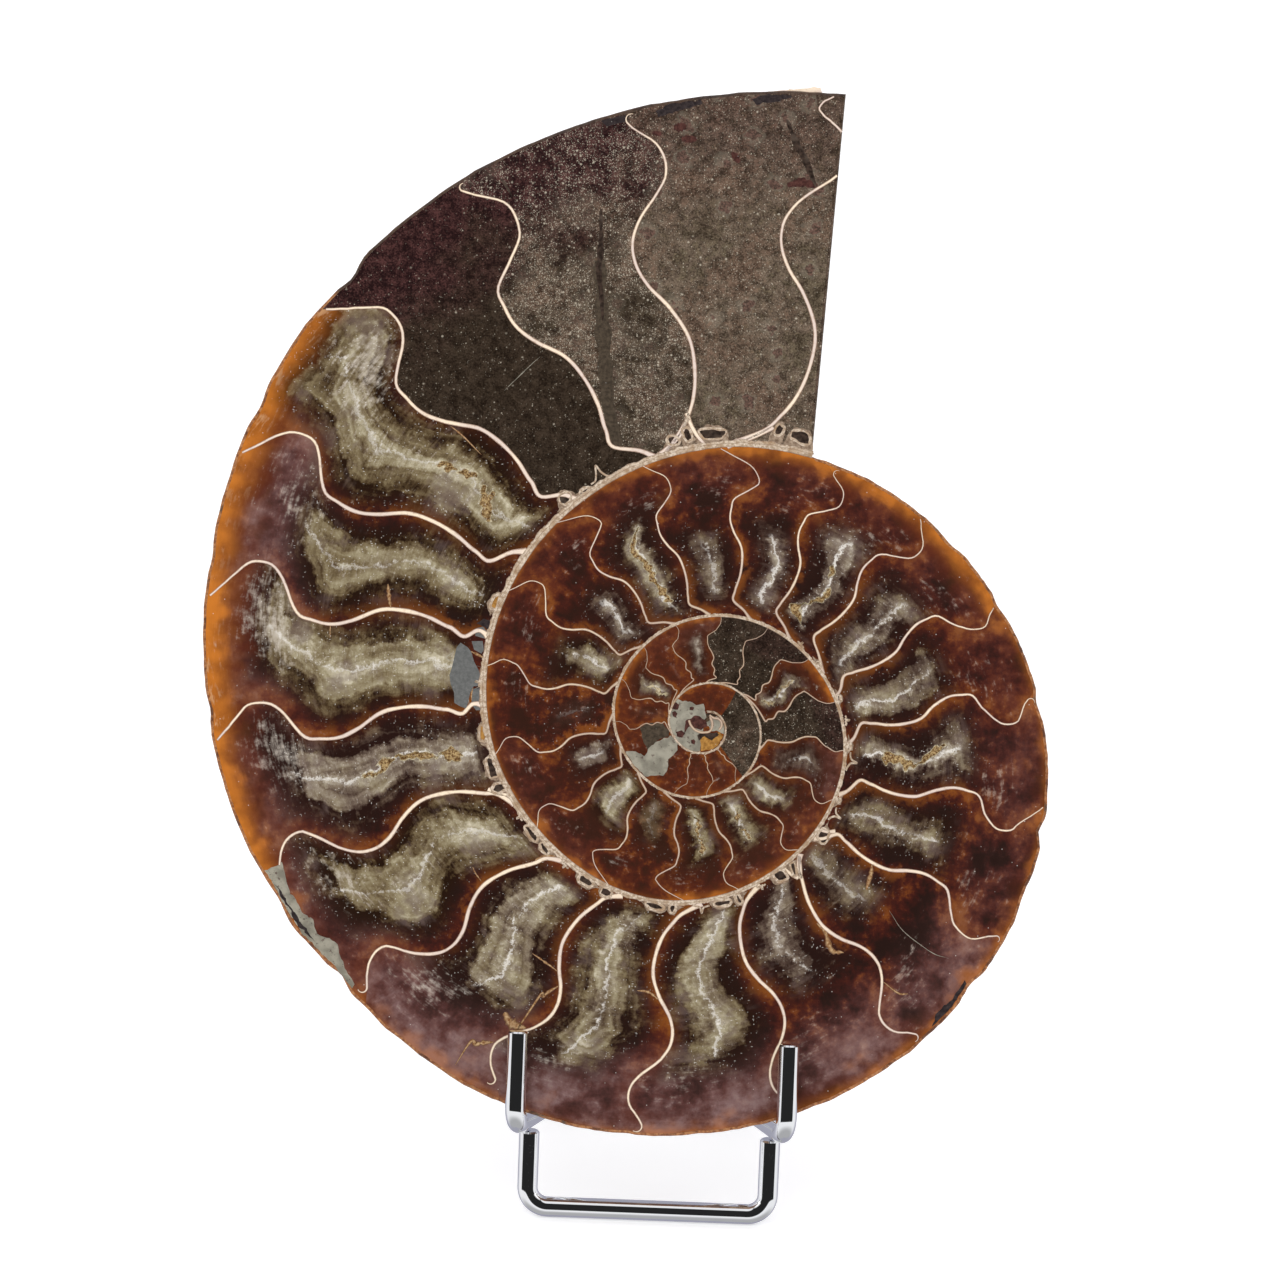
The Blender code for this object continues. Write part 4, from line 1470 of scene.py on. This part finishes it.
def outline_columns():
    """The fossil's outline from the inner end of the mouth, with its place along the coil."""
    junction, corner = mouth_ends()
    steps = np.linspace(0, 1, MOUTH_STEPS, endpoint=False)
    mouth = junction + (corner - junction) * steps[:, None]
    turned = np.arange(0, JUNCTION_TURNED, OUTLINE_STEP)
    coil = at_angle(rim_radius(turned), turned)
    points = np.vstack([mouth, coil])
    angle = np.degrees(np.arctan2(points[:, 1], points[:, 0])) % 360
    along = angle - MOUTH_CORNER_ANGLE
    along = np.where(along < JUNCTION_ANGLE - MOUTH_CORNER_ANGLE, along + 360, along)
    along[0] = JUNCTION_TURNED
    return points, along, len(mouth)


def back_depth(radius, along):
    """How far the outside is behind the sawn face, at a radius and a place along the coil."""
    depths = [whorl_depth(radius, along + 360 * turn) for turn in range(WHORLS)]
    return RIM_THICKNESS + np.max(depths, axis=0)


def rib_height(across, along):
    """The low ribs of the outermost whorl, which sweep forwards and fade out at both walls."""
    squared, plain = RIB_SWEEP
    rib = RIB_HEIGHT * np.sin(np.radians(along * 360 / RIB_STEP + across ** 2 * squared + across * plain))
    return rib * np.clip(across * 4, 0, 1) * np.clip((1 - across) * 12, 0, 1)


Ring = namedtuple("Ring", "points height kind shell_gap")


def outside_rings(outline, along):
    """Rings of points from the lip round the fillings, over the rim, down the sides and across the back."""
    ahead = np.roll(outline, -1, axis=0) - np.roll(outline, 1, axis=0)
    ahead /= np.linalg.norm(ahead, axis=1, keepdims=True)
    inwards = np.stack([-ahead[:, 1], ahead[:, 0]], axis=1)
    radius = np.hypot(*outline.T)
    full_depth = back_depth(radius, along)
    rings = [Ring(outline + inwards * LIP, -FILLING_DEPTH + .02, "lip", FAR_FROM_SHELL),
             Ring(outline + inwards * LIP, -LIP_FALL, "lip", FAR_FROM_SHELL),
             Ring(outline + inwards * LIP_BEVEL, -LIP_FALL, "lip", FAR_FROM_SHELL),
             Ring(outline, -LIP_BEVEL, "side", full_depth)]
    for row in range(1, SIDE_ROWS + 1):
        depth = LIP_BEVEL + (full_depth - LIP_BEVEL) * row / SIDE_ROWS
        rings.append(Ring(outline, -depth, "side", full_depth - depth))
    for share in BACK_RINGS:
        rib = rib_height(whorl_across(radius * share, along), along) * (share > UMBILICUS_SHARE)
        rings.append(Ring(outline * share, -(back_depth(radius * share, along) + rib), "outside", 0))
    return rings


def ring_finishes(rings, mouth_count, count):
    """The finish of each face between the rings, and of the two ends."""
    finishes = []
    for ring in rings[1:]:
        at_mouth, elsewhere = RING_FINISHES[ring.kind]
        finishes += [at_mouth] * mouth_count + [elsewhere] * (count - mouth_count)
    return finishes + [RIM, OUTSIDE]


def outside_shape():
    """The fossil's body: a lip round the sawn face, the rim, the sawn mouth and the coiled outside."""
    outline, along, mouth_count = outline_columns()
    count = len(outline)
    rings = outside_rings(outline, along)

    def each_point(values):
        return np.concatenate([np.broadcast_to(value, count) for value in values])

    height = each_point(ring.height for ring in rings)
    points = np.column_stack([np.vstack([ring.points for ring in rings]), height])
    faces = [(low, high, high_beside, low_beside)
             for low, low_beside, high_beside, high in grid_faces(len(rings), count, closed=True)]
    faces += [tuple(range(count)), tuple(reversed(range(len(points) - count, len(points))))]
    radius, all_along = np.hypot(points[:, 0], points[:, 1]), np.tile(along, len(rings))
    depths = [whorl_depth(radius, all_along + 360 * turn) for turn in range(WHORLS)]
    turned = all_along + 360 * np.argmax(depths, axis=0)
    shape = Shape()
    shape.add(points, faces, ring_finishes(rings, mouth_count, count), turned=turned,
              across=whorl_across(radius, turned), depth=-height,
              count=np.interp(turned, [septum.turned for septum in SEPTA.values()], list(SEPTA)),
              shell_gap=each_point(ring.shell_gap for ring in rings), rim_gap=FAR_FROM_SHELL,
              size=MOUTH_SIZE, **sediment_values(0))
    return shape


# ---------------------------------------------------------------- the stand

def stand_place():
    """Where the stand's own frame is: its middle, in the plane of the hooks."""
    low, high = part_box("front_foot")
    return Matrix.Translation(((low.x + high.x) / 2, (low.y + high.y) / 2 - FOOT_SETBACK, low.z))


def ledge_point(side, depth):
    """Centre of the wire on a ledge, this far behind the hooks."""
    inwards = (HOOK_HALF_SPAN - BACKREST_HALF_SPAN) * depth / LEDGE_DEPTH
    return Vector((side * (HOOK_HALF_SPAN - inwards), depth,
                   LEDGE_HEIGHT - depth * math.tan(LEDGE_FALL)))


def rounded(corners, bend_radius):
    """The path through these corners, with every inner corner bent to an arc."""
    path = [corners[0]]
    for before, corner, after in zip(corners, corners[1:], corners[2:]):
        back = (before - corner).normalized()
        ahead = (after - corner).normalized()
        half_angle = back.angle(ahead) / 2
        centre = corner + (back + ahead).normalized() * bend_radius / math.sin(half_angle)
        reach = bend_radius / math.tan(half_angle)
        start = (corner + back * reach - centre).normalized()
        end = (corner + ahead * reach - centre).normalized()
        for step in range(BEND_STEPS + 1):
            path.append(centre + start.slerp(end, step / BEND_STEPS) * bend_radius)
    return path + [corners[-1]]


def tube(path, radii):
    """A closed round wire along a path, with a radius at each point."""
    points = []
    side = None
    for step, place in enumerate(path):
        ahead = (path[min(step + 1, len(path) - 1)] - path[max(step - 1, 0)]).normalized()
        if side is None:
            side = ahead.orthogonal().normalized()
        side = (side - ahead * side.dot(ahead)).normalized()
        other = ahead.cross(side)
        for corner in range(WIRE_SIDES):
            angle = 2 * math.pi * corner / WIRE_SIDES
            points.append((place + (side * math.cos(angle) + other * math.sin(angle)) * radii[step]) / MM)
    return points, tube_faces(len(path), WIRE_SIDES)


def cut_ends(path):
    """Path and radii of a wire whose cut ends have a small burr-free ease."""
    first, last = path[0], path[-1]
    into_first = (path[1] - first).normalized()
    into_last = (path[-2] - last).normalized()
    full = [first, first + into_first * WIRE_END_EASE, *path[1:-1], last + into_last * WIRE_END_EASE, last]
    radii = [WIRE_RADIUS] * len(full)
    radii[0] = radii[-1] = WIRE_RADIUS - WIRE_END_EASE
    return full, radii


def hook_top(side, rise):
    return ledge_point(side, 0) + Vector((0, rise * math.sin(HOOK_LEAN), rise * math.cos(HOOK_LEAN)))


def cradle_corners():
    return [
        hook_top(-1, LEFT_HOOK_RISE), ledge_point(-1, 0), ledge_point(-1, LEDGE_DEPTH),
        Vector((-BACKREST_HALF_SPAN, BACKREST_SETBACK, BACKREST_TOP)),
        Vector((BACKREST_HALF_SPAN, BACKREST_SETBACK, BACKREST_TOP)),
        ledge_point(1, LEDGE_DEPTH), ledge_point(1, 0), hook_top(1, RIGHT_HOOK_RISE),
    ]


def front_foot_corners():
    under_ledge = ledge_point(1, FOOT_SETBACK).z - WIRE_RADIUS - TOUCHING_GAP
    return [Vector((-FOOT_HALF_SPAN, FOOT_SETBACK, under_ledge)),
            Vector((-FOOT_HALF_SPAN, FOOT_SETBACK, WIRE_RADIUS)),
            Vector((FOOT_HALF_SPAN, FOOT_SETBACK, WIRE_RADIUS)),
            Vector((FOOT_HALF_SPAN, FOOT_SETBACK, under_ledge))]


def rear_leg_corners():
    corners = []
    for side in (-1, 1):
        crossbar = Vector((side * REAR_LEG_TOP_HALF_SPAN, BACKREST_SETBACK, BACKREST_TOP))
        foot = Vector((side * REAR_FOOT_HALF_SPAN, REAR_FOOT_SETBACK, WIRE_RADIUS))
        down = (foot - crossbar).normalized()
        top = crossbar + down * (WIRE_RADIUS + TOUCHING_GAP)
        corners += [top, foot] if side < 0 else [foot, top]
    return corners


def wire(name, corners, node, chrome):
    shape = Shape()
    shape.add(*tube(*cut_ends(rounded(corners, WIRE_BEND_RADIUS))))
    show(shape.make(name, [chrome], stand_place(), WIRE_SMOOTHNESS), "chromed_wire", node)


def show(piece, slot, *nodes):
    """Fixes a piece to the object, in place of these nodes."""
    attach(piece, "root")
    if nodes:
        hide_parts(*nodes)


# ---------------------------------------------------------------- the studio

# The dark opening of the room, as the chrome mirrors it: its side, top and bottom edges.
OPENING_SIDE = math.cos(math.radians(70))
OPENING_TOP = math.sin(math.radians(50))
OPENING_BOTTOM = math.sin(math.radians(-19))
SIDE_SOFTNESS = 0.02
END_SOFTNESS = 0.03
ROOM_LIGHT = .9
BACK_LIGHT = .42
DARK_LIGHT = .02
ROOM_TINT = (.98, .985, 1.0)
BACK_TINT = (.84, .84, 1.0)
LIGHT_TARGET = (0, 0, .09)
# Name, place, width and height, power, and whether the chrome mirrors it.
LIGHTS = [("left_softbox", (-.9, -.3, .5), (.6, .8), 1.2, True),
          ("right_softbox", (.9, -.3, .5), (.6, .8), 1, True),
          ("front_fill", (-.1, -.95, .75), (.9, .7), 3.0, False)]
# The floor in section, from front to back and up, and the places across it.
FLOOR_SWEEP = [(-1.5, 0), (.6, 0), (.9, .03), (1.15, .12), (1.35, .28), (1.45, .5), (1.5, 1.4)]
FLOOR_PLACES = (-2.0, -1.0, 0, 1.0, 2.0)
CAMERA_DISTANCE = 0.8
CAMERA_CLIP = (.05, 20)
FRAME_WIDTH = 0.2007
CAMERA_ROLL = math.radians(2.2)
VIEW_MIDDLE = (-10.54 * MM, 12.77 * MM)
SENSOR = 36.0


def make_camera(face):
    data = bpy.data.cameras.new("studio_camera")
    data.sensor_width = SENSOR
    data.lens = SENSOR * CAMERA_DISTANCE / FRAME_WIDTH
    data.clip_start, data.clip_end = CAMERA_CLIP
    camera = bpy.data.objects.new("studio_camera", data)
    bpy.context.scene.collection.objects.link(camera)
    camera.matrix_world = (face @ Matrix.Translation((*VIEW_MIDDLE, CAMERA_DISTANCE))
                           @ Matrix.Rotation(CAMERA_ROLL, 4, "Z"))
    bpy.context.scene.camera = camera


def make_light(name, place, size, power, mirrored):
    data = bpy.data.lights.new(name, "AREA")
    data.shape = "RECTANGLE"
    data.size, data.size_y = size
    data.energy = power
    light = bpy.data.objects.new(name, data)
    light.visible_glossy = mirrored
    bpy.context.scene.collection.objects.link(light)
    light.location = place
    light.rotation_mode = "QUATERNION"
    light.rotation_quaternion = (Vector(LIGHT_TARGET) - Vector(place)).to_track_quat("-Z", "Y")


def make_world():
    """A white room, with a dark opening in front where the camera stands."""
    world = bpy.data.worlds.new("white_room")
    world.use_nodes = True
    bpy.context.scene.world = world
    room = Finish.on(world.node_tree)
    direction = room.node("ShaderNodeTexCoord", output="Generated")
    x, y, z = (room.node("ShaderNodeSeparateXYZ", None, {0: direction}, output=axis) for axis in "XYZ")
    level = (x * x + y * y).math("SQRT")
    towards_front = (y * -1.0) / level.most(.001)
    beside = towards_front.rise(OPENING_SIDE + SIDE_SOFTNESS, OPENING_SIDE - SIDE_SOFTNESS)
    above = z.rise(OPENING_TOP - END_SOFTNESS, OPENING_TOP + END_SOFTNESS)
    below = z.rise(OPENING_BOTTOM, OPENING_BOTTOM - END_SOFTNESS)
    behind = towards_front.rise(-.2, -.95)
    underneath = z.rise(-.5, -.85)
    wall_light = ROOM_LIGHT - behind.most(underneath) * (ROOM_LIGHT - BACK_LIGHT)
    mirrored = beside.most(above.most(below)) * wall_light + DARK_LIGHT
    seen = room.node("ShaderNodeLightPath", output="Is Camera Ray")
    glossy = room.node("ShaderNodeLightPath", output="Is Glossy Ray")
    light = mirrored * glossy + (1.0 - glossy) * ROOM_LIGHT
    background = world.node_tree.nodes["Background"]
    room.put(background.inputs["Color"], room.mix(behind * glossy, ROOM_TINT, BACK_TINT))
    room.put(background.inputs["Strength"], light.most(seen))


def make_floor():
    """A pale floor that curves up far behind the object."""
    points = [(x / MM, y / MM, z / MM) for y, z in FLOOR_SWEEP for x in FLOOR_PLACES]
    shape = Shape()
    shape.add(points, grid_faces(len(FLOOR_SWEEP), len(FLOOR_PLACES)))
    floor = shape.make("studio_floor", [floor_finish()], Matrix.Identity(4), 180)
    floor.visible_glossy = False


def start_inlays(mineral, amber, hollow, maroon):
    """The stones round the coil's start, each a little prouder than the one below it."""
    islands = [(START_ISLAND * size + place, PROUD * (1.2 + size * .1), "start_island", maroon)
               for size, place in START_ISLANDS]
    inlays = [
        (START_MINERAL, PROUD * 1.1, "start_mineral", mineral),
        (START_AMBER, PROUD * 1.3, "start_amber", amber),
        # Painted shade in the hollow at the coil's start.
        (START_HOLLOW, PROUD * 1.5, "start_hollow", hollow),
        (START_DRUSE, PROUD * 1.4, "start_druse", maroon),
        *islands,
        (START_CELL, PROUD * 1.6, "start_cell", mineral),
    ]
    return [(start_of_coil(outline, top), name, finish) for outline, top, name, finish in inlays]


def face_inlays():
    """Everything that is set in the sawn face, with its name and its finish."""
    septum, wall, mineral = septum_finish(), wall_finish(), grey_green_finish()
    # The hollow finish is painted shade, for the flutes, slits and coil start that are empty hollows.
    hollow, vein = hollow_shade_finish(), vein_finish()
    crust = slate_finish("shell_crust", (.14, .085, .052), (.36, .27, .19))
    slate = slate_finish("slate_block", (.095, .096, .092), (.145, .145, .138))
    dark_slate = slate_finish("dark_slate", (.016, .011, .012), (.044, .032, .031))
    olive = slate_finish("olive_stone", (.034, .024, .015), (.080, .058, .038))
    maroon = slate_finish("maroon_crystals", (.028, .009, .007), (.10, .036, .028))
    amber = slate_finish("amber_crystals", (.21, .09, .015), (.44, .22, .05))
    return [
        (fill_plain(GREY_GREEN, lambda number: {}), "grey_green_chambers", mineral),
        (septa_shape(), "septa", septum),
        (coil_wall_shape(), "coil_wall", wall),
        (flute_crusts(), "flute_crusts", crust),
        (flute_rims(), "wall_flutes", wall),
        # Painted shade in the hollow flutes.
        (flute_fillings(False), "flute_hollows", hollow),
        (flute_fillings(True), "amber_flutes", amber),
        # Painted shade in the slits that never filled.
        (lines(SLITS, PROUD * .8), "unfilled_slits", hollow),
        (lines(SCARS, PROUD * .4, .6), "healed_slit", olive),
        (lines(VEINS, PROUD * .7), "golden_veins", vein),
        (lines(SCRATCHES, PROUD * .5), "fine_scratches", mineral),
        (lines(BLOTCHES, PROUD * .6, .3), "dark_blotches", maroon),
        (splinter_shape(), "rim_splinter", septum),
        (patches(SLATE_BLOCKS, PROUD * 1.2, 1, .06), "slate_blocks", slate),
        (patches(DARK_BLOCKS, PROUD * 1.1), "dark_slate_blocks", dark_slate),
        (patches(MINERAL_PATCHES, PROUD * .9), "grey_green_patches", mineral),
        (patches(OLIVE_PATCHES, PROUD * .6), "olive_patch", olive),
        *start_inlays(mineral, amber, hollow, maroon),
    ]


def make_fossil(face):
    sediment = sediment_finish()
    body_finishes = [outside_finish(), rim_finish(), mouth_finish(), sediment]
    body = outside_shape().make("shell_outside", body_finishes, face, OUTSIDE_SMOOTHNESS)
    show(body, "fossil_stone", "ammonite_half")
    calcite = fill_calcite().make("calcite_chambers", [calcite_finish()], face, FILLING_SMOOTHNESS)
    show(calcite, "fossil_stone")
    sediment_fill = fill_plain(SEDIMENT, sediment_values)
    show(sediment_fill.make("sediment_chambers", [sediment], face, FILLING_SMOOTHNESS), "fossil_stone")
    for shape, name, finish in face_inlays():
        show(shape.make(name, [finish], face, INLAY_SMOOTHNESS), "fossil_stone")


def make_stand():
    chrome = chrome_finish()
    wire("cradle_of_wire", cradle_corners(), "cradle_wire", chrome)
    wire("front_foot_of_wire", front_foot_corners(), "front_foot", chrome)
    wire("rear_leg_of_wire", rear_leg_corners(), "rear_leg", chrome)


def main():
    face = pole_frame()
    make_camera(face)
    make_world()
    make_floor()
    for light in LIGHTS:
        make_light(*light)
    make_fossil(face)
    make_stand()
    bpy.context.scene.view_settings.view_transform = "Standard"


main()
